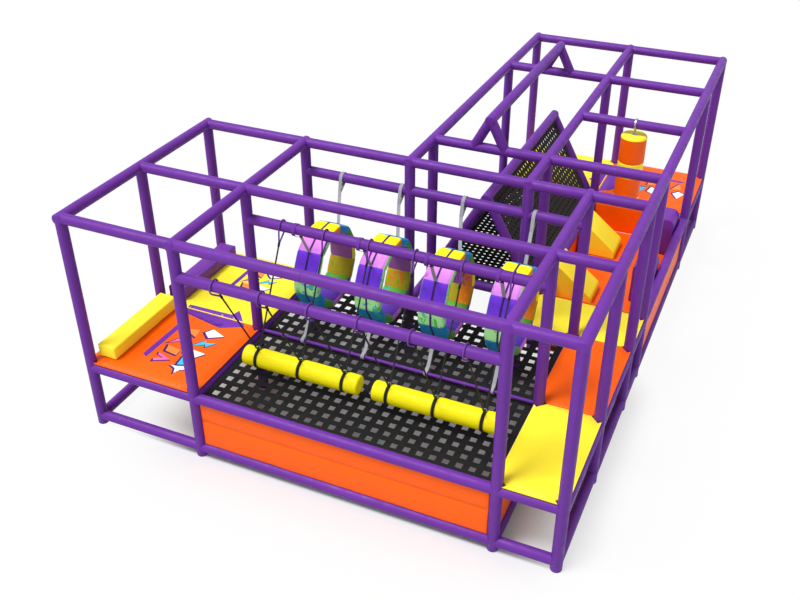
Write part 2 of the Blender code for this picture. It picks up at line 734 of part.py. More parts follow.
def beside_posts(x):
    """The nearest place to x on the rear guard rail where a strap clears the uprights."""
    need = POST_R + STRAP_W / 2.0 + STRAP_POST_CLEAR
    for post_x in (XA, XB):
        if abs(x - post_x) < need:
            return post_x + math.copysign(need, x - post_x)
    return x


def build_hoops():
    """Four foam crawl hoops, each hung in a belt with straps to the rails."""
    hoop_y = (Y1 + Y2) / 2.0
    corner_angle = math.radians(45.0)
    belt_mid = HOOP_R + GAP + STRAP_T / 2.0
    reach = belt_mid * 0.9
    hang_z = GUARD_Z + RAIL_R + STRAP_HANG_PLAY
    low_z = THIN_RAIL_Z + LOW_LOOP_R - THIN_RAIL_R - LOW_LOOP_PLAY
    for number in range(HOOP_COUNT):
        x = X1 + HOOP_FIRST_X + number * HOOP_PITCH
        rear_x = beside_posts(x + REAR_STRAP_X)
        centre = (x, hoop_y, HOOP_Z)
        anchors = (((x + FRONT_STRAP_X, Y1, hang_z - STRAP_LOOP_R), STRAP_LOOP_R, -1.0, 1.0),
                   ((rear_x, Y2, hang_z - STRAP_LOOP_R), STRAP_LOOP_R, 1.0, 1.0),
                   ((x + FRONT_STRAP_X, Y1, low_z), LOW_LOOP_R, -1.0, -1.0))
        pivot = (x + FRONT_STRAP_X, Y1, hang_z)
        hoop = joined([hoop_prism(centre, HOOP_R, HOOP_WIDTH)],
                      [hoop_prism(centre, HOOP_R - HOOP_WALL, HOOP_WIDTH * 2.0)], "hoop")
        finish(hoop, "crawl_hoop_{}".format(number + 1), VINYL_BLUE, pivot, smooth=False)
        belt = joined([hoop_prism(centre, HOOP_R + GAP + STRAP_T, STRAP_W)],
                      [hoop_prism(centre, HOOP_R + GAP, STRAP_W * 2.0)], "belt")
        pieces = []
        for place, bore, side, lift in anchors:
            pieces.append(ring(place, (1.0, 0.0, 0.0), bore, bore + STRAP_T, STRAP_W, 12))
            corner = Vector((x, hoop_y + side * reach * math.sin(corner_angle),
                             HOOP_Z + lift * reach * math.cos(corner_angle)))
            way = (corner - Vector(place)).normalized()
            pieces.append(strap(Vector(place) + way * (bore + STRAP_T * 0.5), corner))
        straps = joined(pieces, [hoop_prism(centre, belt_mid, HOOP_WIDTH)], "straps")
        finish(joined([belt, straps], [], "harness"), "hoop_harness_{}".format(number + 1),
               STRAPPING, pivot, smooth=False)


def extruded_xz(points, start, end, name):
    """A flat outline in X and Z, given a width along Y."""
    curve = bpy.data.curves.new(name, "CURVE")
    curve.dimensions = "2D"
    curve.fill_mode = "BOTH"
    curve.extrude = (end - start) / 2.0
    curve.render_resolution_u = 0
    line = curve.splines.new("POLY")
    line.points.add(len(points) - 1)
    for point, place in zip(line.points, points):
        point.co = (place[0], place[1], 0.0, 1.0)
    line.use_cyclic_u = True
    obj = bpy.data.objects.new(name, curve)
    obj.rotation_euler = (math.pi / 2.0, 0.0, 0.0)
    obj.location = (0.0, (start + end) / 2.0, 0.0)
    bpy.context.scene.collection.objects.link(obj)
    bpy.context.view_layer.update()
    return evaluated_copy(obj, name)


def build_pit():
    """The sunken pit: floor, risers, side panels, two wedges and two blocks."""
    clear = POST_R + GAP
    beside = SIDE_RAIL_R + GAP
    left = XB + clear
    right = X3 - clear
    front = Y3 + RAIL_R + GAP
    rear = Y5 - RAIL_R - GAP
    half = PIT_PANEL_T / 2.0
    under = DECK_Z - beside
    over = FLOOR_RAIL_Z + beside
    panel = box((X3 - half, Y3 + clear, over), (X3 + half, Y5 - clear, under))
    finish(panel, "pit_side_right", VINYL_ORANGE, smooth=False)
    panel = box((XB - half, Y3 + clear, 0.0), (XB + half, Y5 - clear, under))
    finish(panel, "pit_side_left", VINYL_ORANGE, smooth=False)
    wide = box((XB + half + GAP, front, over), (X3 - half - GAP, rear, PIT_FLOOR_Z))
    foot = box((XB + half + GAP, front, 0.0), (X3 - beside, rear, (over + PIT_FLOOR_Z) / 2.0))
    finish(joined([wide, foot], [], "pit_floor"), "pit_floor", VINYL_ORANGE, smooth=False)
    deck_top = DECK_Z + RAIL_R
    riser = box((left, front, PIT_FLOOR_Z + GAP), (right, front + PIT_RISER_T, deck_top))
    finish(riser, "pit_riser_front", VINYL_ORANGE, smooth=False)
    riser = box((left, rear - PIT_RISER_T, PIT_FLOOR_Z + GAP), (right, rear, deck_top))
    finish(riser, "pit_riser_rear", VINYL_ORANGE, smooth=False)

    floor_z = PIT_FLOOR_Z + GAP
    back_x = XB + beside
    nose_x = back_x + WEDGE_LENGTH
    outline = [(back_x, floor_z), (back_x, WEDGE_TOP_Z)]
    top = Vector((back_x, WEDGE_TOP_Z))
    centre = Vector((nose_x - WEDGE_NOSE_R, floor_z + WEDGE_NOSE_R))
    toward = centre - top
    tilt = math.atan2(toward.y, toward.x) + math.asin(WEDGE_NOSE_R / toward.length)
    start = tilt + math.pi / 2.0
    steps = 6
    for step in range(steps + 1):
        angle = start + (0.0 - start) * step / steps
        outline.append((centre.x + WEDGE_NOSE_R * math.cos(angle),
                        centre.y + WEDGE_NOSE_R * math.sin(angle)))
    outline.append((nose_x, floor_z))
    for name, offset in (("pit_wedge_near", WEDGE_NEAR_Y), ("pit_wedge_far", WEDGE_FAR_Y)):
        wedge = extruded_xz(outline, Y3 + offset, Y3 + offset + WEDGE_WIDTH, name)
        finish(wedge, name, VINYL_YELLOW)

    block_right = X3 - beside
    block_left = block_right - BLOCK_WIDTH
    top_z = floor_z + BLOCK_HEIGHT
    outline = [(block_left, floor_z)]
    for step in range(7):
        angle = math.pi - math.pi / 2.0 * step / 6.0
        outline.append((block_left + BLOCK_ROUND + BLOCK_ROUND * math.cos(angle),
                        top_z - BLOCK_ROUND + BLOCK_ROUND * math.sin(angle)))
    for step in range(7):
        angle = math.pi / 2.0 - math.pi / 2.0 * step / 6.0
        outline.append((block_right - BLOCK_ROUND + BLOCK_ROUND * math.cos(angle),
                        top_z - BLOCK_ROUND + BLOCK_ROUND * math.sin(angle)))
    outline.append((block_right, floor_z))
    far_y = rear - PIT_RISER_T - GAP - BLOCK_DEPTH
    for name, start_y in (("pit_block_near", Y3 + BLOCK_NEAR_Y), ("pit_block_far", far_y)):
        block = extruded_xz(outline, start_y, start_y + BLOCK_DEPTH, name)
        finish(block, name, VINYL_PURPLE)


def bag_profile():
    """Half outline of the bag from its top to its bottom, with rounded shoulders."""
    points = [(BAG_TOP_Z, 0.0), (BAG_TOP_Z, BAG_R - BAG_ROUND)]
    for step in range(1, 5):
        angle = math.radians(90.0 * step / 4.0)
        points.append((BAG_TOP_Z - BAG_ROUND * (1.0 - math.cos(angle)),
                       BAG_R - BAG_ROUND + BAG_ROUND * math.sin(angle)))
    bottom = BAG_TOP_Z - BAG_LENGTH
    for step in range(0, 5):
        angle = math.radians(90.0 * step / 4.0)
        points.append((bottom + BAG_ROUND * (1.0 - math.sin(angle)),
                       BAG_R - BAG_ROUND + BAG_ROUND * math.cos(angle)))
    points.append((bottom, 0.0))
    return points


def build_bag():
    """A punching bag on a hanger that loops round the bag rail."""
    x = XB + BAG_X
    pin_z = TOP_Z - RAIL_R - HANGER_PIN_DROP - HANGER_WIRE_R
    loop_r = RAIL_R + HANGER_PLAY + HANGER_WIRE_R
    work = bmesh.new()
    verts = [work.verts.new((radius, 0.0, z)) for z, radius in bag_profile()]
    for first, second in zip(verts, verts[1:]):
        work.edges.new((first, second))
    mesh = bpy.data.meshes.new("bag_outline")
    work.to_mesh(mesh)
    work.free()
    bag = new_object("bag_outline", mesh, None)
    spin = bag.modifiers.new("turn", "SCREW")
    spin.axis = "Z"
    spin.angle = math.tau
    spin.steps = 16
    spin.render_steps = 16
    spin.use_merge_vertices = True
    spin.merge_threshold = 0.0001
    bag = evaluated_copy(bag, "bag_outline")
    bag.location = (x, Y4, 0.0)
    eye_z = pin_z + HANGER_PIN_R + HANGER_PLAY - BAG_EYE_R + BAG_EYE_WIRE_R
    eye = torus((x, Y4, eye_z), "Y", BAG_EYE_R, BAG_EYE_WIRE_R, 12, 4)
    stem_top = eye_z - BAG_EYE_R
    stem = tube([(x, Y4, stem_top), (x, Y4, BAG_TOP_Z - 0.02)], BAG_EYE_WIRE_R, 2)
    finish(joined([bag, eye, stem], [], "bag"), "punching_bag", VINYL_ORANGE, (x, Y4, pin_z))

    loop = torus((x, Y4, TOP_Z), "X", loop_r, HANGER_WIRE_R, 20, 6)
    half = HANGER_FORK_W / 2.0
    pin = tube([(x, Y4 - half - HANGER_CHEEK_T, pin_z), (x, Y4 + half + HANGER_CHEEK_T, pin_z)],
               HANGER_PIN_R, 2)
    pieces = [loop, pin]
    for side in (-1.0, 1.0):
        inner = Y4 + side * half
        outer = Y4 + side * (half + HANGER_CHEEK_T)
        low_y = min(inner, outer)
        high_y = max(inner, outer)
        pieces.append(box((x - HANGER_PIN_R, low_y, pin_z - HANGER_PIN_R),
                          (x + HANGER_PIN_R, high_y, TOP_Z - RAIL_R - HANGER_WIRE_R)))
    finish(joined(pieces, [], "hanger"), "bag_hanger", METAL, (x, Y4, TOP_Z))


def slope_net(name, foot_x):
    """A net panel on one slope of the tunnel, from the ridge to a deck rail."""
    ridge = Vector((RIDGE, 0.0, TUNNEL_RIDGE_Z))
    foot = Vector((foot_x, 0.0, DECK_Z))
    way = foot - ridge
    inset = SIDE_RAIL_R + GAP
    length = way.length - 2.0 * inset
    width = (Y5 - Y3) - 2.0 * (RAIL_R + GAP)
    net = grid_net(width, length, SLOPE_COLUMNS, SLOPE_ROWS, SLOPE_STRAP, SLOPE_NET_T)
    down = way.normalized()
    middle = (ridge + foot) / 2.0
    middle.y = (Y3 + Y5) / 2.0
    across = Vector((0.0, 1.0, 0.0))
    normal = across.cross(down)
    frame = Matrix((across, down, normal)).transposed().to_4x4()
    net.matrix_world = Matrix.Translation(middle) @ frame
    return finish(net, name, WEBBING, smooth=False)


def build_tunnel():
    """The A-frame with its nets, and the ridge beam over it."""
    pieces = [along_y(RIDGE, Y3 - RIDGE_END, Y5 + RIDGE_END, TUNNEL_RIDGE_Z)]
    cutters = []
    for y in (Y3, Y5):
        for foot_x in (XA, XB):
            pieces.append(tube([(RIDGE, y, TUNNEL_RIDGE_Z), (foot_x, y, DECK_Z)], RAIL_R))
            cutters.append(post_cutter(foot_x, y))
        cutters.append(rail_cutter_x(XA, XB, y, DECK_Z))
    for foot_x in (XA, XB):
        cutters.append(rail_cutter_y(foot_x, Y2, Y6, DECK_Z))
    finish(joined(pieces, cutters, "tunnel_frame"), "tunnel_frame", FOAM)
    slope_net("tunnel_net_left", XA)
    slope_net("tunnel_net_right", XB)
    clear = POST_R + GAP
    net = grid_net(XB - XA - 2.0 * clear, Y5 - Y3 - 2.0 * (RAIL_R + GAP), TUNNEL_NET_COLUMNS,
                   TUNNEL_NET_ROWS, SLOPE_STRAP, SLOPE_NET_T)
    net.location = ((XA + XB) / 2.0, (Y3 + Y5) / 2.0, DECK_Z)
    finish(net, "tunnel_net_floor", WEBBING, smooth=False)

    pieces = [along_y(RIDGE, Y3 - RAIL_R, Y5 + RAIL_R, BEAM_Z)]
    cutters = []
    for y in (Y3, Y5):
        for side in (-1.0, 1.0):
            pieces.append(tube([(RIDGE, y, BEAM_Z), (RIDGE + side * BEAM_FOOT_SPREAD, y, TOP_Z)],
                               RAIL_R))
        cutters.append(box((XA, y - 2.0 * RAIL_R, TOP_Z - 2.0 * RAIL_R),
                           (XB, y + 2.0 * RAIL_R, TOP_Z)))
        cutters.append(rail_cutter_x(XA, XB, y, TOP_Z))
    finish(joined(pieces, cutters, "ridge_beam"), "ridge_beam", FOAM)


build_frame()
build_mats()
build_nets()
build_logs()
build_hoops()
build_pit()
build_bag()
build_tunnel()
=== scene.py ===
"""Looks of the padded tube-frame playground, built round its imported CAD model.

Each sub-assembly is a class that builds its meshes, dresses them and hands them
to the body that carries them. All lengths are metres, in the frame of the CAD.
"""

import logging
import math
from collections.abc import Callable, Iterable, Sequence
from dataclasses import dataclass
from enum import Enum
from typing import Any

import bmesh
import bpy
import numpy as np
from mathutils import Matrix, Vector, noise

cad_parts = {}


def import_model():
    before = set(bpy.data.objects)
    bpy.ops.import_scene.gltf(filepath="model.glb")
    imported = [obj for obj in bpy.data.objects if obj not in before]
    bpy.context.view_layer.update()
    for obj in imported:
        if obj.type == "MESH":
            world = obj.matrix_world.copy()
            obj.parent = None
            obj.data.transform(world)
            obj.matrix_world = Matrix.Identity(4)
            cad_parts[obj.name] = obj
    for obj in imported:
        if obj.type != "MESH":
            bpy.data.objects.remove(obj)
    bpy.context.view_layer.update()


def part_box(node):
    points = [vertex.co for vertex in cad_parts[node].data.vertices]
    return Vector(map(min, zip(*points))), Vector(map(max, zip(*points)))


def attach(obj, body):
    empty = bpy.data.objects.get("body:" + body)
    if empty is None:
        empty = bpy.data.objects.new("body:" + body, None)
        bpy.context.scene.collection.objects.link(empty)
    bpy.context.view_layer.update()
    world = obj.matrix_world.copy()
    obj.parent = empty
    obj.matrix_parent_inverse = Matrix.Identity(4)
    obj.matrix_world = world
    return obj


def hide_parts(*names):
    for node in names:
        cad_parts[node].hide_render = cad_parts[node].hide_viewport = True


log = logging.getLogger("playground")

Mesh = bmesh.types.BMesh
Tree = bpy.types.NodeTree
Socket = bpy.types.NodeSocket
Pair = tuple[float, float]
Triple = tuple[float, float, float]

AXIS_X = Vector((1.0, 0.0, 0.0))
AXIS_Y = Vector((0.0, 1.0, 0.0))
AXIS_Z = Vector((0.0, 0.0, 1.0))
QUARTER = math.pi / 2.0
WELD = 0.00001  # points nearer than this are one point
BAND = 0.314  # width of one band of the wave texture at scale 1
LAP = 0.0006  # how much thinner every other edge strap is, so that lapped faces don't meet


@dataclass(frozen=True)
class Grid:
    """Plan lines, heights and tube sizes, as in the CAD source."""

    x: tuple[float, ...] = (-2.435, -1.215, 1.85, 2.435)
    y: tuple[float, ...] = (-3.367, -2.177, -0.977, -0.347, 0.918, 2.178, 3.388)
    xa: float = -0.005
    xb: float = 1.255
    ridge: float = 0.625
    origin: Pair = (2.435, 3.367)
    top: float = 2.40
    guard: float = 2.076
    deck: float = 0.713
    floor_rail: float = 0.10
    post_r: float = 0.055
    side_rail_r: float = 0.0535
    rail_r: float = 0.053
    thin_rail_r: float = 0.018
    thin_rail_z: float = 0.765
    ridge_z: float = 1.83
    gap: float = 0.0003

    def posts(self) -> list[Pair]:
        """Find the plan places of all the uprights.

        Returns:
            X and Y of each.
        """
        x, y = self.x, self.y
        places = [(px, py) for px in x for py in y[:3]]
        places += [(x[3], y[3]), (x[3], y[5]), (x[3], y[6])]
        return places + [(px, y[k]) for px in (self.xa, self.xb) for k in (2, 3, 5, 6)]


# ---------------------------------------------------------------- finishes


def linear(code: str, factor: float = 1.0) -> tuple[float, ...]:
    """Turn an sRGB hex code into a linear colour.

    Args:
        code: The colour as #RRGGBB.
        factor: Makes it lighter or darker in linear light.

    Returns:
        Red, green, blue and alpha.
    """
    parts = [int(code[i : i + 2], 16) / 255.0 for i in (1, 3, 5)]
    light = [c / 12.92 if c <= 0.04045 else ((c + 0.055) / 1.055) ** 2.4 for c in parts]
    return (*(min(c * factor, 1.0) for c in light), 1.0)


def feed(tree: Tree, node: bpy.types.Node, inputs: dict[Any, Any]) -> None:
    """Give a node's inputs their links and plain values.

    Args:
        tree: The node tree.
        node: The node.
        inputs: A socket to link or a value to set, by the input's name or number.
    """
    for key, value in inputs.items():
        if isinstance(value, Socket):
            tree.links.new(value, node.inputs[key])
        else:
            node.inputs[key].default_value = value


def add_node(
    tree: Tree, kind: str, inputs: dict[Any, Any] | None = None, **settings: Any
) -> bpy.types.Node:
    """Add one shader node with its settings, values and links.

    Args:
        tree: The node tree that gets it.
        kind: Its type name after "ShaderNode".
        inputs: Sockets and values of its inputs, by name or number.
        **settings: Properties of the node by name.

    Returns:
        The new node.
    """
    node = tree.nodes.new("ShaderNode" + kind)
    for key, value in settings.items():
        setattr(node, key, value)
    feed(tree, node, inputs or {})
    return node


@dataclass(frozen=True)
class Finish:
    """A material by its real name, with the record's slot that it stands for."""

    name: str
    colour: str
    slot: str

    def material(self) -> bpy.types.Material:
        """Make the material once.

        Returns:
            The material.
        """
        made = bpy.data.materials.get(self.name)
        if made is None:
            made = bpy.data.materials.new(self.name)
            made.use_nodes = True
            tree = made.node_tree
            feed(tree, tree.nodes["Principled BSDF"], self.looks(tree))
        return made

    def looks(self, tree: Tree) -> dict[str, Any]:
        """Return the shader's inputs; each kind of finish has its own."""
        raise NotImplementedError

    def mottled(self, tree: Tree, place: Socket, patch: float, depth: float) -> Socket:
        """Vary the colour a little over patches of a real size.

        Args:
            tree: The node tree.
            place: The coordinates, in metres.
            patch: Width of a patch.
            depth: How far the shades lie apart, as a share.

        Returns:
            The colour socket.
        """
        patches = add_node(tree, "TexNoise", {
            "Scale": 1.0 / patch, "Detail": 4.0, "Roughness": 0.6, "Vector": place})
        ramp = add_node(tree, "MapRange", {
            "From Min": 0.3, "From Max": 0.7, "Value": patches.outputs["Fac"]})
        mix = add_node(tree, "Mix", {
            "A": linear(self.colour, 1.0 - depth), "B": linear(self.colour, 1.0 + depth),
            "Factor": ramp.outputs["Result"]}, data_type="RGBA")
        return mix.outputs["Result"]

    def bump(self, tree: Tree, *layers: tuple[Socket, float]) -> Socket:
        """Stack heights on one normal.

        Args:
            tree: The node tree.
            *layers: Height sockets and their depths in metres.

        Returns:
            The normal socket.
        """
        below: dict[str, Socket] = {}
        for height, depth in layers:
            node = add_node(tree, "Bump", {
                "Strength": 1.0, "Distance": depth, "Height": height, **below})
            below = {"Normal": node.outputs["Normal"]}
        return below["Normal"]


@dataclass(frozen=True)
class CoatedSkin(Finish):
    """A plastic coat over foam: a fine embossed grain over broad soft ripples."""

    emboss: str = "F1"
    grain: float = 0.007
    ripples: float = 14.0
    detail: float = 3.0
    twist: float = 0.6
    rough: Pair = (0.35, 0.52)
    patch: float = 0.3
    variation: float = 0.035
    ripple_depth: float = 0.0025
    grain_depth: float = 0.0005
    ior: float = 1.48
    specular: float = 0.2

    def looks(self, tree: Tree) -> dict[str, Any]:
        """Lay the grain over the ripples, and wear it duller on them.

        Args:
            tree: The node tree.

        Returns:
            The shader's inputs.
        """
        place = add_node(tree, "TexCoord").outputs["Object"]
        # Real grain is 1 to 2 mm; it is drawn at 5 to 7 mm so that it shows
        grain = add_node(
            tree, "TexVoronoi", {"Scale": 1.0 / self.grain, "Vector": place},
            feature=self.emboss)
        ripple = add_node(tree, "TexNoise", {
            "Scale": self.ripples, "Detail": self.detail, "Distortion": self.twist,
            "Vector": place}).outputs["Fac"]
        rough = add_node(tree, "MapRange", {
            "From Min": 0.3, "From Max": 0.7, "To Min": self.rough[0],
            "To Max": self.rough[1], "Value": ripple})
        normal = self.bump(
            tree, (ripple, self.ripple_depth), (grain.outputs["Distance"], self.grain_depth))
        return {"Base Color": self.mottled(tree, place, self.patch, self.variation),
                "Roughness": rough.outputs["Result"], "Normal": normal, "IOR": self.ior,
                "Specular IOR Level": self.specular}


@dataclass(frozen=True)
class FoamSleeve(CoatedSkin):
    """Closed-cell foam tube with a calendered PVC skin: dull, finely pebbled, softly dented."""

    emboss: str = "SMOOTH_F1"
    grain: float = 0.005
    ripples: float = 1.0 / 0.09
    detail: float = 2.0
    twist: float = 0.0
    rough: Pair = (0.42, 0.58)
    patch: float = 0.45
    variation: float = 0.07
    ripple_depth: float = 0.004
    grain_depth: float = 0.0006
    ior: float = 1.5
    specular: float = 0.22


@dataclass(frozen=True)
class PadVinyl(CoatedSkin):
    """PVC-coated polyester cloth over foam: an embossed grain, a low shine and slack ripples."""


@dataclass(frozen=True)
class DyedVinyl(PadVinyl):
    """Vinyl printed with a tie-dyed cloth pattern: streaks of two more inks run into the first."""

    second: str = "#FFFFFF"
    third: str = "#FFFFFF"
    amount: float = 0.5

    def mottled(self, tree: Tree, place: Socket, patch: float, depth: float) -> Socket:
        """Run the other inks into the first in soft-edged streaks.

        Args:
            tree: The node tree.
            place: The coordinates, in metres.
            patch: Not used; the streaks have their own width.
            depth: Not used.

        Returns:
            The colour socket.
        """
        colour: Any = linear(self.colour)
        for number, ink in enumerate((self.second, self.third)):
            streak = add_node(tree, "TexNoise", {
                "Scale": 7.0 + 4.0 * number, "Detail": 3.0, "Distortion": 1.6,
                "Vector": place})
            edge = add_node(tree, "MapRange", {
                "From Min": 0.70 - 0.22 * self.amount, "From Max": 0.78 - 0.22 * self.amount,
                "Value": streak.outputs["Fac"]}, interpolation_type="SMOOTHSTEP")
            mix = add_node(tree, "Mix", {
                "A": colour, "B": linear(ink), "Factor": edge.outputs["Result"]},
                data_type="RGBA")
            colour = mix.outputs["Result"]
        return colour


@dataclass(frozen=True)
class WovenWebbing(Finish):
    """Woven polyester strap: dull, ribbed across and lengthwise."""

    rib: float = 0.008
    relief: float = 0.0008

    def looks(self, tree: Tree) -> dict[str, Any]:
        """Cross ribs on the strap's own UV map, which is in metres.

        Args:
            tree: The node tree.

        Returns:
            The shader's inputs.
        """
        where = add_node(tree, "TexCoord").outputs
        # Real ribs are about 1.5 mm; they are drawn at 6 to 10 mm so that they show
        ribs = [add_node(tree, "TexWave", {
            "Scale": BAND / self.rib, "Distortion": 0.4, "Detail": 1.0, "Vector": where["UV"]},
            bands_direction=axis).outputs["Fac"] for axis in "XY"]
        weave = add_node(
            tree, "Math", {0: ribs[0], 1: ribs[1]}, operation="MULTIPLY").outputs["Value"]
        # Lighter where the ribs cross: a painted highlight on the raised weave, laid over a random
        # tone.
        colour_with_painted_relief_light = add_node(tree, "Mix", {
            "A": self.mottled(tree, where["Object"], 0.12, 0.16),
            "B": linear(self.colour, 1.7), "Factor": weave}, data_type="RGBA")
        rough = add_node(tree, "MapRange", {"To Min": 0.9, "To Max": 0.68, "Value": weave})
        return {"Base Color": colour_with_painted_relief_light.outputs["Result"], "Roughness": rough.outputs["Result"],
                "Normal": self.bump(tree, (weave, self.relief)), "Sheen Weight": 0.06,
                "Sheen Roughness": 0.5, "Specular IOR Level": 0.3}


@dataclass(frozen=True)
class BraidedRope(Finish):
    """Sixteen-strand braided polyester rope: strands cross at a steep angle."""

    strand: float = 0.009
    relief: float = 0.0012

    def looks(self, tree: Tree) -> dict[str, Any]:
        """Cross two sets of slanted strands on the rope's own UV map.

        Args:
            tree: The node tree.

        Returns:
            The shader's inputs.
        """
        place = add_node(tree, "TexCoord").outputs["UV"]
        strands = []
        for turn in (1.0, -1.0):
            slant = add_node(tree, "Mapping", {"Scale": (turn, 1.0, 1.0), "Vector": place})
            strands.append(add_node(tree, "TexWave", {
                "Scale": 2.0 * BAND / self.strand, "Distortion": 0.2,
                "Vector": slant.outputs["Vector"]}, bands_direction="DIAGONAL").outputs["Fac"])
        braid = add_node(
            tree, "Math", {0: strands[0], 1: strands[1]}, operation="MAXIMUM").outputs["Value"]
        # Darker between the strands and lighter on their crowns: painted shade and painted
        # highlight that follow the braid's relief.
        colour_with_painted_relief_light = add_node(tree, "Mix", {
            "A": linear(self.colour, 0.55), "B": linear(self.colour, 1.6), "Factor": braid},
            data_type="RGBA")
        rough = add_node(tree, "MapRange", {"To Min": 0.9, "To Max": 0.62, "Value": braid})
        return {"Base Color": colour_with_painted_relief_light.outputs["Result"], "Roughness": rough.outputs["Result"],
                "Normal": self.bump(tree, (braid, self.relief))}


@dataclass(frozen=True)
class ZincSteel(Finish):
    """Electro-zinced steel wire: grey metal, clouded where it is handled."""

    cloud: float = 0.02

    def looks(self, tree: Tree) -> dict[str, Any]:
        """Cloud the shine, with a fine drawn surface.

        Args:
            tree: The node tree.

        Returns:
            The shader's inputs.
        """
        place = add_node(tree, "TexCoord").outputs["Object"]
        cloud = add_node(tree, "TexNoise", {
            "Scale": 1.0 / self.cloud, "Detail": 5.0, "Vector": place}).outputs["Fac"]
        rough = add_node(tree, "MapRange", {
            "From Min": 0.3, "From Max": 0.7, "To Min": 0.28, "To Max": 0.46, "Value": cloud})
        return {"Base Color": self.mottled(tree, place, self.cloud, 0.1), "Metallic": 1.0,
                "Roughness": rough.outputs["Result"], "Normal": self.bump(tree, (cloud, 0.0003))}


PURPLE_SLEEVE = FoamSleeve("purple_foam_sleeve_skin", "#632A90", "foam_sleeve")
YELLOW_PAD = PadVinyl("yellow_pad_vinyl", "#FFE633", "yellow_vinyl")
ORANGE_PAD = PadVinyl("orange_pad_vinyl", "#F75E00", "orange_vinyl")
PURPLE_PAD = PadVinyl("purple_pad_vinyl", "#6B3096", "purple_vinyl")
LOG_PAD = PadVinyl("bright_yellow_log_vinyl", "#FFF00C", "yellow_vinyl")
BLACK_WEBBING = WovenWebbing("black_polyester_webbing", "#17171A", "black_webbing")
GREY_STRAP = WovenWebbing("grey_polyester_strap", "#8E8E94", "grey_strapping", 0.006, 0.0006)
BELT_WEBBING = WovenWebbing("dark_plum_belt_webbing", "#34215C", "grey_strapping", 0.006, 0.0006)
KEEPER = WovenWebbing("purple_keeper_webbing", "#5C2888", "foam_sleeve", 0.006, 0.0006)
BLACK_ROPE = BraidedRope("black_braided_rope", "#121215", "black_webbing")
PURPLE_ROPE = BraidedRope("purple_braided_rope_loop", "#5A2A82", "black_webbing")
ZINC = ZincSteel("zinced_steel_wire", "#B9BCC0", "zinc_steel")
NET_CLOTH = WovenWebbing("black_net_webbing", "#0A0A0B", "black_webbing", 0.01, 0.001)


def dyed_panel(name: str, inks: str, amount: float = 0.5) -> DyedVinyl:
    """Name a hoop panel's vinyl by its ground colour and the two inks that run into it."""
    first, second, third = inks.split()
    return DyedVinyl("hoop_" + name, first, "hoop_vinyl", second=second, third=third,
                     amount=amount)


class Ink(Enum):
    """Colours of the generic sewn shapes on the pads."""

    PURPLE = PadVinyl("appliqué_purple", "#6B2FA0", "purple_vinyl")
    WHITE = PadVinyl("appliqué_white", "#F4F4FA", "hoop_vinyl")
    DARK = PadVinyl("appliqué_plum", "#4A1F66", "purple_vinyl")
    PINK = PadVinyl("appliqué_pink", "#F06CB4", "hoop_vinyl")
    CYAN = PadVinyl("appliqué_cyan", "#3FC0EE", "hoop_vinyl")
    TANGERINE = PadVinyl("appliqué_tangerine", "#FF8A3C", "orange_vinyl")


class HoopVinyl(Enum):
    """Colours of the sewn panels of the crawl hoops."""

    YELLOW = PadVinyl("hoop_yellow", "#FFEE14", "hoop_vinyl")
    BLUE = dyed_panel("blue", "#1F8FD0 #28B0A8 #2C78D8")
    GREEN = dyed_panel("green", "#4FA02C #2C9A9A #8A8A20")
    PINK = dyed_panel("pink", "#D880E4 #C45ADA #E89AD8", 0.35)
    VIOLET = dyed_panel("violet", "#7A3CF0 #9A3CE4 #5A40E0", 0.4)
    MINT = dyed_panel("mint", "#A6E4A0 #52B83C #38B0C8")
    # The next two are pink and yellow darkened: painted shade for panels that face away from the
    # light, inside the far side and at the rear below.
    PLUM = dyed_panel("pink_painted_shade", "#9A5CA8 #B062B0 #84509A")
    OLIVE = dyed_panel("yellow_painted_shade", "#AA9A18 #C8781C #7A9A24", 0.7)
    ORANGE = dyed_panel("orange", "#F08418 #D84A9A #E8B020")
    GRAPE = dyed_panel("grape", "#6A3AC0 #8A44D0 #3C58C8")


# ---------------------------------------------------------------- mesh work


def linked(name: str, data: Any) -> bpy.types.Object:
    """Make an object of mesh, lamp or camera data in the scene.

    Args:
        name: Name of the object.
        data: The data.

    Returns:
        The object.
    """
    obj = bpy.data.objects.new(name, data)
    bpy.context.scene.collection.objects.link(obj)
    return obj


def meshed(work: Mesh, name: str) -> bpy.types.Mesh:
    """Turn a bmesh into mesh data.

    Args:
        work: The bmesh; it is freed.
        name: Name of the data.

    Returns:
        The mesh data.
    """
    mesh = bpy.data.meshes.new(name)
    work.to_mesh(mesh)
    work.free()
    return mesh


def absorb(work: Mesh, other: Mesh) -> None:
    """Move another bmesh's faces into this one.

    Args:
        work: The bmesh that grows.
        other: The other one; it is freed.
    """
    carrier = meshed(other, "carrier")
    work.from_mesh(carrier)
    bpy.data.meshes.remove(carrier)


def new_verts(made: dict[str, Any]) -> list[bmesh.types.BMVert]:
    """List the points among what a mesh operator made."""
    return [item for item in made["geom"] if isinstance(item, bmesh.types.BMVert)]


def face_out(work: Mesh) -> None:
    """Turn all faces outwards."""
    bmesh.ops.recalc_face_normals(work, faces=work.faces)


def shift(work: Mesh, way: Sequence[float]) -> None:
    """Move a whole bmesh."""
    bmesh.ops.translate(work, vec=way, verts=work.verts)


def soften(
    work: Mesh, geom: Sequence[Any], offset: float, segments: int, affect: str = "EDGES"
) -> None:
    """Round edges or corners off."""
    bmesh.ops.bevel(work, geom=geom, offset=offset, offset_type="OFFSET", segments=segments,
                    profile=0.5, affect=affect, material=-1)


def rule(work: Mesh, axis: int, places: Iterable[float]) -> None:
    """Cut a bmesh along planes across one axis, so that it can be shaped there.

    Args:
        work: The bmesh.
        axis: 0, 1 or 2 for planes across X, Y or Z.
        places: Where the planes stand.
    """
    normal = (AXIS_X, AXIS_Y, AXIS_Z)[axis]
    for place in places:
        bmesh.ops.bisect_plane(
            work, geom=work.verts[:] + work.edges[:] + work.faces[:], dist=WELD,
            plane_co=normal * place, plane_no=normal)


def dyed(work: Mesh, index: int) -> Mesh:
    """Give all faces of a shell one material index and return it."""
    for face in work.faces:
        face.material_index = index
    return work


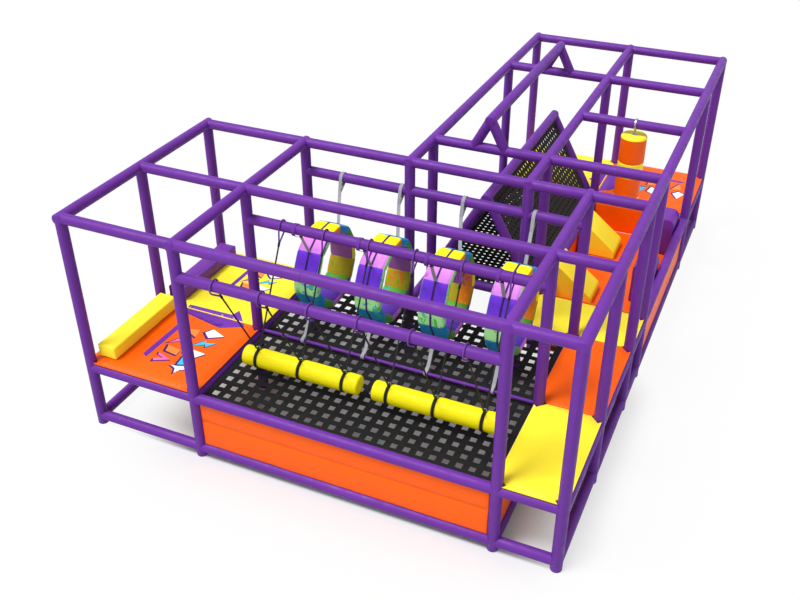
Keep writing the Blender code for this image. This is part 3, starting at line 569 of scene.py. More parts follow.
def even_places(low: float, high: float, spacing: float) -> list[float]:
    """Space places evenly between two ends, no wider apart than the spacing."""
    count = max(int(math.ceil((high - low) / spacing)), 1)
    return [low + (high - low) * k / count for k in range(1, count)]


def fused(pieces: Sequence[Mesh], cuts: Sequence[Mesh] = ()) -> Mesh:
    """Unite closed shells into one and cut others out of it.

    Args:
        pieces: Shells to unite; they are freed.
        cuts: Shells to take away; they are freed.

    Returns:
        One closed shell.
    """
    made = [linked("stock", meshed(work, "stock")) for work in (*pieces, *cuts)]
    base = made[0]
    for number, other in enumerate(made[1:], start=1):
        step = base.modifiers.new("step", "BOOLEAN")
        step.operation = "UNION" if number < len(pieces) else "DIFFERENCE"
        step.solver = "MANIFOLD"
        step.object = other
    bpy.context.view_layer.update()
    graph = bpy.context.evaluated_depsgraph_get()
    stock = [bpy.data.meshes.new_from_object(base.evaluated_get(graph))]
    work = bmesh.new()
    work.from_mesh(stock[0])
    for obj in made:
        stock.append(obj.data)
        bpy.data.objects.remove(obj, do_unlink=True)
    for mesh in stock:
        bpy.data.meshes.remove(mesh)
    bmesh.ops.remove_doubles(work, verts=work.verts, dist=WELD)
    bmesh.ops.dissolve_degenerate(work, dist=WELD, edges=work.edges)
    return work


def box_shell(low: Sequence[float], high: Sequence[float]) -> Mesh:
    """Make a closed box.

    Args:
        low: Its lowest corner.
        high: Its highest corner.

    Returns:
        The shell.
    """
    work = bmesh.new()
    bmesh.ops.create_cube(work, size=1.0)
    bmesh.ops.scale(work, vec=Vector(high) - Vector(low), verts=work.verts)
    shift(work, (Vector(high) + Vector(low)) / 2.0)
    return work


def flat_sheet(width: float, length: float, columns: int = 1, rows: int = 1) -> Mesh:
    """Make a flat sheet, centred on the origin.

    Args:
        width: Its size along X.
        length: Its size along Y.
        columns: Faces along X.
        rows: Faces along Y.

    Returns:
        The open sheet.
    """
    work = bmesh.new()
    bmesh.ops.create_grid(work, x_segments=columns, y_segments=rows, size=0.5)
    bmesh.ops.scale(work, vec=(width, length, 1.0), verts=work.verts)
    return work


def rod(
    start: Sequence[float], end: Sequence[float], radius: float, sides: int = 32,
    easing: float = 0.008,
) -> Mesh:
    """Make a round bar between two points with eased ends.

    Args:
        start: One end.
        end: The other end.
        radius: Its radius.
        sides: Faces round it.
        easing: Radius of the eased rims, 0 for sharp ones.

    Returns:
        A closed shell.
    """
    first, last = Vector(start), Vector(end)
    way = last - first
    turn = AXIS_Z.rotation_difference(way.normalized()).to_matrix().to_4x4()
    work = bmesh.new()
    bmesh.ops.create_cone(
        work, cap_ends=True, segments=sides, radius1=radius, radius2=radius, depth=way.length,
        matrix=Matrix.Translation((first + last) / 2.0) @ turn)
    if easing > 0.0:
        soften(work, [e for e in work.edges if e.calc_face_angle(0.0) > 1.0], easing, 3)
    return work


def bend(x: float, y: float, radius: float, start: float, end: float, steps: int) -> list[Pair]:
    """Draw an arc about (x, y) between two angles in degrees, both ends included."""
    angles = [math.radians(start + (end - start) * k / steps) for k in range(steps + 1)]
    return [(x + radius * math.cos(a), y + radius * math.sin(a)) for a in angles]


def circle(
    centre: Vector, radius: float, right: Vector, up: Vector, count: int,
    start: float = 0.0, turn: float = math.tau,
) -> list[Vector]:
    """Draw a circle, or part of one, without its last point.

    Args:
        centre: Its middle.
        radius: Its radius.
        right: Direction of angle 0.
        up: Direction of a quarter turn.
        count: Number of points.
        start: Angle of the first point.
        turn: Angle that the points are spread over.

    Returns:
        The points.
    """
    angles = [start + turn * k / count for k in range(count)]
    return [centre + (right * math.cos(a) + up * math.sin(a)) * radius for a in angles]


def round_section(radius: float, sides: int = 12) -> list[Pair]:
    """Draw a round section."""
    return bend(0.0, 0.0, radius, 0.0, 360.0, sides)[:-1]


def flat_section(width: float, thickness: float) -> list[Pair]:
    """Draw a strap's section, its broad side first, with rounded edges."""
    half, lift = width / 2.0, thickness / 2.0
    upper = [(half, 0.0), (half - lift * 0.6, lift), (0.0, lift), (-half + lift * 0.6, lift)]
    return upper + [(-px, -py) for px, py in upper]


def sweep(
    path: Sequence[Vector], section: Sequence[Pair], across: Vector, closed: bool = False
) -> Mesh:
    """Carry a section along a path, with a UV map in metres round and along it.

    Args:
        path: The points that the middle follows.
        section: Points of the section; the first number runs along across.
        across: Direction that the section's first number keeps.
        closed: True if the path returns to its first point.

    Returns:
        A closed shell.
    """
    work = bmesh.new()
    sheet = work.loops.layers.uv.new("cloth")
    count, sides = len(path), len(section)
    around = [0.0]
    for k in range(sides):
        around.append(around[-1] + math.dist(section[k], section[(k + 1) % sides]))

    def placed(index: int) -> list[Vector]:
        """Set the section across one point of the path.

        Args:
            index: Number of the point.

        Returns:
            The section's points there.
        """
        ahead, behind = index + 1, index - 1
        if not closed:
            ahead, behind = min(ahead, count - 1), max(behind, 0)
        way = (path[ahead % count] - path[behind % count]).normalized()
        side = (across - way * across.dot(way)).normalized()
        lift = way.cross(side)
        return [path[index] + side * a + lift * b for a, b in section]

    ring = [work.verts.new(spot) for spot in placed(0)]
    edges = [work.edges.new((ring[k], ring[(k + 1) % sides])) for k in range(sides)]
    first_edges = edges
    along = 0.0
    for index in range(1, count + int(closed)):
        place = index % count
        fresh = set(new_verts(bmesh.ops.extrude_edge_only(work, edges=edges)))
        after = [
            next(e.other_vert(v) for e in v.link_edges if e.other_vert(v) in fresh) for v in ring
        ]
        for vert, spot in zip(after, placed(place)):
            vert.co = spot
        reach = along + (path[place] - path[index - 1]).length
        pairs = [(after[k], after[(k + 1) % sides]) for k in range(sides)]
        edges = [work.edges.get(pair) for pair in pairs]
        for k, pair in enumerate(pairs):
            for loop in edges[k].link_faces[0].loops:
                near = loop.vert in (ring[k], after[k])
                loop[sheet].uv = (around[k] if near else around[k + 1],
                                  reach if loop.vert in pair else along)
        ring, along = after, reach
    if closed:
        bmesh.ops.remove_doubles(work, verts=work.verts, dist=WELD)
    else:
        for rim in (first_edges, edges):
            bmesh.ops.edgeloop_fill(work, edges=rim)
    face_out(work)
    return work


def edge_straps(
    low: Vector, high: Vector, half: Pair, width_share: float, thickness: float, steps: int
) -> Iterable[Mesh]:
    """Lay four flat straps round a rectangle, lapped at its corners.

    Args:
        low: Lowest corner of the straps' middle line.
        high: Highest corner.
        half: Half widths of the straps that stand across X and across Y.
        width_share: Share of the width that is drawn.
        thickness: Thickness of the first and third strap; the others are a little thinner.
        steps: Faces along each.

    Yields:
        The shells.
    """
    corners = [Vector((x, y, low.z)) for x, y in (
        (low.x, low.y), (high.x, low.y), (high.x, high.y), (low.x, high.y))]
    for k in range(4):
        first, last = corners[k], corners[(k + 1) % 4]
        way = (last - first).normalized()
        ahead, beside = half if k % 2 == 0 else half[::-1]
        start, end = first - way * ahead, last + way * ahead
        yield sweep(
            [start.lerp(end, s / steps) for s in range(steps + 1)],
            flat_section(2.0 * beside * width_share, thickness - LAP * (k % 2)),
            AXIS_Z.cross(way))


def spun(work: Mesh, centre: Vector, axis: Vector, steps: int, merge: float) -> None:
    """Spin an outline about an axis into a closed shell.

    Args:
        work: The bmesh that holds the outline.
        centre: A point of the axis.
        axis: Its direction.
        steps: Faces round it.
        merge: Points nearer than this become one.
    """
    bmesh.ops.spin(
        work, geom=work.verts[:] + work.edges[:], cent=centre, axis=axis, angle=math.tau,
        steps=steps, use_merge=True, use_duplicate=False)
    bmesh.ops.remove_doubles(work, verts=work.verts, dist=merge)
    face_out(work)


def turned(points: Sequence[Pair], centre: Vector, axis: Vector, sides: int) -> Mesh:
    """Spin a half outline about an axis into a closed shell.

    Args:
        points: Places along the axis and radii, both ends at radius 0.
        centre: The point of the axis from which places are counted.
        axis: Direction of the axis, X or Z.
        sides: Faces round it.

    Returns:
        A closed shell with its poles merged.
    """
    side = AXIS_Z if abs(axis.x) > 0.5 else AXIS_X
    work = bmesh.new()
    verts = [work.verts.new(centre + axis * place + side * radius) for place, radius in points]
    for pair in zip(verts, verts[1:]):
        work.edges.new(pair)
    spun(work, centre, axis, sides, 0.00005)
    return work


def deliver(
    work: Mesh, name: str, body: str, finishes: Finish | Sequence[Finish],
    replaces: Sequence[str] = (), crease: float = 38.0,
) -> None:
    """Hand a finished shell over to the body that carries it.

    Args:
        work: The shell; it is freed.
        name: Name of the piece.
        body: The CAD body that it rides on.
        finishes: Its finishes, by material index.
        replaces: CAD nodes that it stands for.
        crease: Angle in degrees over which an edge stays sharp.
    """
    several = [finishes] if isinstance(finishes, Finish) else list(finishes)
    mesh = meshed(work, name)
    for finish in several:
        mesh.materials.append(finish.material())
    mesh.shade_smooth()
    mesh.set_sharp_from_angle(angle=math.radians(crease))
    obj = linked(name, mesh)
    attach(obj, body)
    if replaces:
        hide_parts(*replaces)
    log.info("%s: %d faces on %s", name, len(mesh.polygons), body)


@dataclass(frozen=True)
class Upholstery:
    """How a sewn vinyl cover sits on its foam core.

    The cover is fullest in the middle of each side; it draws in towards its
    seams, sinks at the stitches and puckers beside them.
    """

    roundness: float = 0.014
    spacing: float = 0.03
    draw_in: float = 0.005
    reach: float = 0.06
    waist: float = 0.003
    seam: float = 0.0018
    pucker: float = 0.0014
    dent: float = 0.0015

    def dress(self, work: Mesh, seed: float) -> None:
        """Round, divide and shape a plain closed block.

        Args:
            work: The block, with sharp edges where its seams run.
            seed: Moves the pattern of dents and puckers.
        """
        seams = [edge for edge in work.edges if edge.calc_face_angle(0.0) > 0.6]
        ends = [(edge.verts[0].co.copy(), edge.verts[1].co.copy()) for edge in seams]
        sides = [[v.co[axis] for v in work.verts] for axis in range(3)]
        soften(work, seams, self.roundness, 4)
        for axis, places in enumerate(sides):
            rule(work, axis, even_places(min(places), max(places), self.spacing))
        work.normal_update()
        verts = work.verts[:]
        spots = np.array([v.co for v in verts])
        nearest, share = np.full(len(verts), 1e9), np.zeros(len(verts))
        for first, last in ends:
            start, span = np.array(first), np.array(last - first)
            along = np.clip((spots - start) @ span / (span @ span), 0.0, 1.0)
            away = np.linalg.norm(spots - start - along[:, None] * span, axis=1)
            closer = away < nearest
            nearest[closer] = away[closer]
            share[closer] = along[closer]
        away = np.maximum(nearest - self.roundness * (math.sqrt(2.0) - 1.0), 0.0)
        hold = np.exp(-((away / self.reach) ** 2))
        move = -self.draw_in * hold - self.waist * np.sin(math.pi * share) * hold
        move -= self.seam * np.exp(-((away / (0.12 * self.roundness)) ** 2))
        for vert, push, gap in zip(verts, move, away):
            fine = noise.noise(vert.co * 28.0 + AXIS_X * seed)
            broad = noise.noise(vert.co * 4.5 + AXIS_Y * seed)
            push += self.pucker * fine * math.exp(-gap / 0.04) + self.dent * (broad - 0.6)
            vert.co += vert.normal * float(push)

    def cover(
        self, node: str, finish: Finish, seed: float, fill: float = 0.9, work: Mesh | None = None
    ) -> None:
        """Dress the block of a CAD node on the frame and hand it over.

        Args:
            node: The CAD node.
            finish: Its vinyl.
            seed: Moves the pattern of dents and puckers.
            fill: Not used.
            work: The block, or None for the node's plain box.
        """
        block = box_shell(*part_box(node)) if work is None else work
        self.dress(block, seed)
        deliver(block, node + "_cover", "frame", finish, (node,))


# ---------------------------------------------------------------- tube frame


@dataclass(frozen=True)
class Sleeve:
    """One straight foam sleeve between two points."""

    start: Triple
    end: Triple
    radius: float


@dataclass(frozen=True)
class FoamFrame:
    """The tubes in their foam sleeves, one piece for each CAD node."""

    grid: Grid
    lap: float = 0.002
    easing: float = 0.009
    ridge_end: float = 0.05
    beam_z: float = 2.72
    foot_spread: float = 0.17
    weld_width: float = 0.007
    weld_height: float = 0.0016
    joint_gap: float = 0.0016
    joint_share: float = 0.42
    joined_from: float = 2.2

    def along_x(self, start: float, end: float, y: float, z: float) -> Sleeve:
        """Set a rail along X."""
        return Sleeve((start, y, z), (end, y, z), self.grid.rail_r)

    def along_y(self, x: float, start: float, end: float, z: float) -> Sleeve:
        """Set a rail along Y."""
        return Sleeve((x, start, z), (x, end, z), self.grid.side_rail_r)

    def side(
        self, x: float, rows: Sequence[float], y_rails: Iterable[Triple],
        x_rails: Iterable[Triple] = (),
    ) -> list[Sleeve]:
        """Set the uprights of one plane, their rails and the rails beside them.

        Args:
            x: The plane.
            rows: Y of each upright.
            y_rails: Start, end and height of each rail in the plane.
            x_rails: End, row and height of each rail that leaves it.

        Returns:
            The sleeves.
        """
        g = self.grid
        made = [Sleeve((x, y, 0.0), (x, y, g.top + self.lap), g.post_r) for y in rows]
        made += [self.along_y(x, start, end, z) for start, end, z in y_rails]
        return made + [self.along_x(x, end, y, z) for end, y, z in x_rails]

    def members(self) -> dict[str, list[Sleeve]]:
        """List all sleeves.

        Returns:
            The sleeves of each CAD node.
        """
        g = self.grid
        x0, x1, x2, x3 = g.x
        y0, y1, y2, y3, y4, y5, y6 = g.y
        out = g.side_rail_r
        fronts, rears = (y0, y1, y2), (y3, y5, y6)
        high_low = (g.top, g.deck)
        top_run = (y0 - out, y2 + out, g.top)
        wing_run = (y2 - out, y6 + out, g.top)
        bay_rails = (top_run, (y0, y2, g.deck), (y0, y2, g.floor_rail))
        ridge, ridge_z, beam_z = g.ridge, g.ridge_z, self.beam_z
        return {
            "side_frame_left": self.side(
                x0, fronts, bay_rails,
                [(x1, y, z) for z in high_low for y in fronts] + [(x1, y0, g.floor_rail)]),
            "side_frame_inner_left": self.side(
                x1, fronts, bay_rails[:2],
                ((g.xa, y2, g.top), (g.xa, y2, g.guard), (g.xa, y2, g.deck), (x2, y0, g.deck),
                 (x2, y0, g.floor_rail))),
            "side_frame_inner_right": self.side(
                x2, fronts, bay_rails,
                [(x3, y, z) for z in high_low for y in fronts] + [(x3, y0, g.floor_rail)]),
            "side_frame_right": self.side(
                x3, (y0, y1, y2, y3),
                ((y0 - out, y3 + g.post_r, g.top), (y0, y3, g.deck), (y0, y3, g.floor_rail))),
            "side_frame_wing": self.side(
                x3, (y5, y6),
                ((y3 + g.post_r + g.gap, y6 + out, g.top), (y3, y6, g.deck),
                 (y3, y6, g.floor_rail))),
            "side_frame_pit": self.side(
                g.xb, (y2, *rears), (wing_run, (y2, y6, g.deck)),
                [(x3, y, z) for z in high_low for y in rears]
                + [(x2, y2, z) for z in (g.top, g.guard, g.deck)]),
            "side_frame_tunnel": self.side(
                g.xa, (y2, *rears), (wing_run, (y2, y6, g.deck)),
                [(g.xb, y, z) for z in high_low for y in (y2, *rears)]
                + [(g.xb, y2, g.guard)]),
            "top_rail_front": [self.along_x(x1, x2, y0, g.top)],
            "top_rail_middle": [self.along_x(x1, x2, y1, g.top)],
            "guard_rail_front": [self.along_x(x1, x2, y0, g.guard)],
            "guard_rail_middle": [self.along_x(x1, x2, y1, g.guard)],
            "bag_rail": [self.along_x(g.xb, x3, y4, g.top)],
            "net_cross_rail": [
                Sleeve((x1, y1, g.thin_rail_z), (x2, y1, g.thin_rail_z), g.thin_rail_r)],
            "tunnel_frame": [
                self.along_y(ridge, y3 - self.ridge_end, y5 + self.ridge_end, ridge_z)]
            + [Sleeve((ridge, y, ridge_z), (x, y, g.deck), g.rail_r)
               for y in (y3, y5) for x in (g.xa, g.xb)],
            "ridge_beam": [self.along_y(ridge, y3 - g.rail_r, y5 + g.rail_r, beam_z)]
            + [Sleeve((ridge, y, beam_z), (ridge + s * self.foot_spread, y, g.top), g.rail_r)
               for y in (y3, y5) for s in (-1.0, 1.0)],
        }

    def weld(self, sleeve: Sleeve) -> Mesh:
        """Make the skin's welded closing seam, a low flat bead on the far or under side.

        Args:
            sleeve: The sleeve that it closes.

        Returns:
            A closed shell.
        """
        first, last = Vector(sleeve.start), Vector(sleeve.end)
        way = (last - first).normalized()
        down = Vector((0.55, 0.83, 0.0)) if abs(way.z) > 0.6 else Vector((0.5, 0.5, -1.0))
        down = (down - way * down.dot(way)).normalized()
        middle = down * (sleeve.radius - 0.25 * self.weld_height)
        inset = way * (self.easing + 0.004)
        section = flat_section(self.weld_width, 2.0 * self.weld_height)
        return sweep([first + middle + inset, last + middle - inset], section, way.cross(down))

    def joints(self, sleeve: Sleeve) -> list[Mesh]:
        """Make the thin ring cutter where two foam lengths butt on a long rail.

        Args:
            sleeve: The sleeve.

        Returns:
            One cutter, or none on a short or slanted sleeve.
        """
        first, last = Vector(sleeve.start), Vector(sleeve.end)
        if (last - first).length < self.joined_from or abs(first.z - last.z) > 0.01:
            return []
        middle = first.lerp(last, self.joint_share)
        half = (last - first).normalized() * self.joint_gap / 2.0
        outer = rod(middle - half, middle + half, sleeve.radius * 1.2, 32, 0.0)
        inner = rod(middle - half * 4.0, middle + half * 4.0, sleeve.radius * 0.94, 32, 0.0)
        return [fused([outer], [inner])]

    def build(self) -> None:
        """Make and dress every tube of the frame."""
        for node, sleeves in self.members().items():
            shells = [rod(s.start, s.end, s.radius, 32, self.easing) for s in sleeves]
            work = fused(shells, [cut for s in sleeves for cut in self.joints(s)])
            for sleeve in sleeves:
                if sleeve.radius > self.grid.thin_rail_r:
                    absorb(work, self.weld(sleeve))
            face_out(work)
            deliver(work, node + "_sleeves", "frame", PURPLE_SLEEVE, (node,), crease=32.0)


# ---------------------------------------------------------------- deck pads


class Confetti:
    """A loose band of plain sewn shapes, each on a dark shape like its own: no letters, no face."""

    SHAPES = (
        ("WHITE", ((-0.36, 0.07), (-0.29, 0.24), (-0.21, 0.10), (-0.28, 0.02))),
        ("CYAN", ((-0.15, 0.23), (-0.06, 0.16), (-0.10, 0.14), (-0.02, 0.01), (-0.16, 0.11),
                  (-0.12, 0.13))),
        ("WHITE", ((0.02, 0.04), (0.04, 0.23), (0.13, 0.17), (0.10, 0.02))),
        ("CYAN", ((0.16, 0.05), (0.23, 0.25), (0.30, 0.07))),
        ("WHITE", ((0.33, 0.02), (0.36, 0.09), (0.43, 0.12), (0.36, 0.15), (0.33, 0.22),
                   (0.30, 0.15), (0.31, 0.12), (0.32, 0.09))),
        ("TANGERINE", ((-0.30, -0.05), (-0.17, -0.03), (-0.25, -0.22))),
        ("PINK", ((-0.12, -0.04), (-0.03, -0.09), (-0.07, -0.10), (0.02, -0.23), (-0.13, -0.14),
                  (-0.09, -0.12))),
        ("TANGERINE", ((0.05, -0.20), (0.08, -0.04), (0.17, -0.03), (0.15, -0.17))),
        ("PINK", ((0.20, -0.21), (0.26, -0.04), (0.34, -0.19), (0.30, -0.20), (0.26, -0.12),
                  (0.235, -0.20))),
    )
    BAR = ((-0.30, -0.33), (0.28, -0.35), (0.31, -0.29), (-0.27, -0.27))
    SHADOW = (0.012, -0.010)
    SHADOW_SCALE = 1.22

    @classmethod
    def shapes(cls, centre: Pair, turn: float, scale: float) -> list[tuple[Ink, list[Pair]]]:
        """Draw one band.

        Args:
            centre: Its middle in plan.
            turn: Its angle.
            scale: Its size.

        Returns:
            Colours and outlines, from the lowest to the highest.
        """
        c, s = math.cos(turn) * scale, math.sin(turn) * scale
        dark = []
        for _, points in cls.SHAPES:
            moved = [(px + cls.SHADOW[0], py + cls.SHADOW[1]) for px, py in points]
            mx, my = (sum(values) / len(points) for values in zip(*moved))
            dark.append(("DARK", [(mx + cls.SHADOW_SCALE * (px - mx),
                                   my + cls.SHADOW_SCALE * (py - my)) for px, py in moved]))
        return [
            (Ink[ink], [(centre[0] + px * c - py * s, centre[1] + px * s + py * c)
                        for px, py in points])
            for ink, points in (("PURPLE", cls.BAR), *dark, *cls.SHAPES)
        ]


@dataclass(frozen=True)
class DeckPad:
    """One crowned deck pad with rolled edges, cut off at the corners round the posts."""

    node: str
    finish: Finish
    grid: Grid
    seed: float
    edge: float = 0.020
    crown: float = 0.030
    roll: float = 0.10
    soft: float = 0.012
    side_inset: float = 0.015
    post_clear: float = 0.0015
    seam_inset: float = 0.012
    seam_depth: float = 0.0022
    seam_width: float = 0.004
    pucker: float = 0.0018
    dent: float = 0.003
    patch: float = 0.0014

    RULED = (0.004, 0.008, 0.012, 0.016, 0.022, 0.034, 0.050, 0.072, 0.10)

    def corners(self) -> tuple[Vector, Vector]:
        """Find the lowest and highest corner of the CAD pad."""
        low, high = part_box(self.node)
        return Vector(low), Vector(high)

    def notches(self) -> list[Pair]:
        """Find the posts that the pad's corners are cut off round.

        Returns:
            X and Y of each.
        """
        low, high = self.corners()
        near = 2.0 * self.grid.post_r
        return [(x, y) for x, y in self.grid.posts()
                if low.x - near < x < high.x + near and low.y - near < y < high.y + near]

    def surface(self) -> Callable[[float, float], float]:
        """Shape the pad's top.

        Returns:
            A function for the top's height at a place in plan.
        """
        low, high = self.corners()
        posts = self.notches()
        half = self.grid.post_r + self.post_clear

        def height(x: float, y: float) -> float:
            """Add up the rolled edge, the seam, its puckers and the dents.

            Args:
                x: The place in plan.
                y: The same along Y.

            Returns:
                Height of the top there.
            """
            gaps = [x - low.x, high.x - x, y - low.y, high.y - y]
            gaps += [(abs(x - px) + abs(y - py)) / math.sqrt(2.0) - half for px, py in posts]
            nearest = min(gaps)
            spread = sum(math.exp(-(gap - nearest) / self.soft) for gap in gaps)
            away = max(nearest - self.soft * math.log(spread), 0.0)
            rise = math.sin(QUARTER * min(away / self.roll, 1.0))
            seam = math.exp(-(((away - self.seam_inset) / self.seam_width) ** 2))
            fine = noise.noise(Vector((x * 24.0, y * 24.0, self.seed)))
            broad = noise.noise(Vector((x * 2.6, y * 2.6, self.seed)))
            z = low.z + self.edge + self.crown * rise - self.seam_depth * seam
            z += self.pucker * fine * math.exp(-((away / 0.05) ** 2)) * min(away / 0.01, 1.0)
            return z + self.dent * (broad - 0.5) * rise

        return height

    def build(self) -> None:
        """Shape the pad from a plain sheet and hand it over."""
        low, high = self.corners()
        middle, half = (low + high) / 2.0, (high - low) / 2.0
        height = self.surface()
        work = flat_sheet(high.x - low.x, high.y - low.y)
        shift(work, (middle.x, middle.y, low.z))
        for axis in (0, 1):
            start, end, last = low[axis], high[axis], self.RULED[-1]
            places = [start + n for n in self.RULED] + [end - n for n in self.RULED]
            rule(work, axis, sorted(places + even_places(start + last, end - last, 0.045)))
        for vert in work.verts:
            vert.co.z = height(vert.co.x, vert.co.y)
        for inset, z in ((0.0015, 0.013), (0.006, 0.005), (self.side_inset, 0.0)):
            rim = [edge for edge in work.edges if edge.is_boundary]
            for vert in new_verts(bmesh.ops.extrude_edge_only(work, edges=rim)):
                for axis in (0, 1):
                    off = vert.co[axis] - middle[axis]
                    if abs(off) > half[axis] - 0.016:
                        vert.co[axis] = middle[axis] + math.copysign(half[axis] - inset, off)
                vert.co.z = low.z + z
        bmesh.ops.edgeloop_fill(work, edges=[edge for edge in work.edges if edge.is_boundary])
        face_out(work)
        cuts = []
        side = self.grid.post_r + self.post_clear
        for x, y in self.notches():
            cut = box_shell((-side, -side, low.z - 0.1), (side, side, high.z + 0.1))
            bmesh.ops.rotate(cut, matrix=Matrix.Rotation(QUARTER / 2.0, 3, "Z"), verts=cut.verts)
            shift(cut, (x, y, 0.0))
            cuts.append(cut)
        deliver(fused([work], cuts), self.node + "_cover", "frame", self.finish, (self.node,))

    def sew(self, name: str, layers: Sequence[tuple[Ink, Sequence[Pair]]]) -> None:
        """Sew flat vinyl shapes onto the pad, each a little over the one before.

        Args:
            name: Name of the new piece.
            layers: Colours and outlines in plan, from the lowest.
        """
        height = self.surface()
        inks: list[Ink] = []
        work = bmesh.new()
        for ink, outline in layers:
            if ink not in inks:
                inks.append(ink)
            lift = self.patch * (1.0 if ink in (Ink.DARK, Ink.PURPLE) else 1.9)
            shape = bmesh.new()
            shape.faces.new([shape.verts.new((px, py, 0.0)) for px, py in outline])
            bmesh.ops.triangulate(shape, faces=shape.faces)
            for axis, places in enumerate(zip(*outline)):
                rule(shape, axis, even_places(min(places), max(places), 0.03))
            bmesh.ops.join_triangles(
                shape, faces=shape.faces, angle_face_threshold=0.1, angle_shape_threshold=3.0)
            tops = set(new_verts(bmesh.ops.extrude_face_region(
                shape, geom=shape.faces[:], use_keep_orig=True)))
            for vert in shape.verts:
                vert.co.z = height(vert.co.x, vert.co.y) + (lift if vert in tops else -0.002)
            face_out(shape)
            absorb(work, dyed(shape, inks.index(ink)))
        deliver(work, name, "frame", [ink.value for ink in inks])


@dataclass(frozen=True)
class DeckPads:
    """The seven deck pads with their sewn motifs, and the two bolsters."""

    grid: Grid

    COLOURS = {
        "mat_left_front": ORANGE_PAD, "mat_left_rear": YELLOW_PAD,
        "mat_right_front": YELLOW_PAD, "mat_right_middle": ORANGE_PAD,
        "mat_right_rear": YELLOW_PAD, "mat_end_right": ORANGE_PAD, "mat_end_left": YELLOW_PAD,
    }
    MOTIFS = {
        "mat_left_front": ((0.78, 0.56), -1.0, 1.0),
        "mat_left_rear": ((0.80, 1.88), -1.0, 0.78),
        "mat_end_right": ((4.42, 6.12), 2.0, 0.95),
    }
    SPLASHES = {
        "mat_left_front": ((0.33, 1.180), (0.37, 1.075), (0.90, 1.065), (0.883, 0.968),
                           (1.112, 1.09), (1.05, 1.180)),
        "mat_left_rear": ((0.33, 1.200), (0.345, 1.235), (0.876, 1.245), (0.903, 1.335),
                          (1.03, 1.200)),
        "mat_end_left": ((3.680, 5.72), (3.60, 5.80), (3.63, 5.92), (3.50, 6.02),
                         (3.58, 6.12), (3.52, 6.28), (3.680, 6.36)),
        "mat_end_right": ((3.700, 5.72), (3.83, 5.78), (3.80, 5.90), (3.99, 5.96),
                          (3.86, 6.08), (3.94, 6.22), (3.700, 6.36)),
    }

    def plan(self, x: float, y: float) -> Pair:
        """Turn a place from the frame's front left corner into the CAD frame."""
        return x - self.grid.origin[0], y - self.grid.origin[1]

    def build(self) -> None:
        """Make the pads, the motifs and the bolsters."""
        pads = {}
        for number, (node, finish) in enumerate(self.COLOURS.items()):
            pads[node] = DeckPad(node, finish, self.grid, 3.7 * number)
            pads[node].build()
        for node, (centre, quarters, scale) in self.MOTIFS.items():
            shapes = Confetti.shapes(self.plan(*centre), quarters * QUARTER, scale)
            pads[node].sew("motif_" + node[4:], shapes)
        for node, outline in self.SPLASHES.items():
            shape = [self.plan(px, py) for px, py in outline]
            pads[node].sew("splash_" + node[4:], [(Ink.PURPLE, shape)])
        cover = Upholstery(0.018, 0.028, 0.004, 0.05, 0.002)
        cover.cover("bolster_yellow", YELLOW_PAD, 5.1)
        cover.cover("bolster_purple", PURPLE_PAD, 5.1)


# ---------------------------------------------------------------- nets


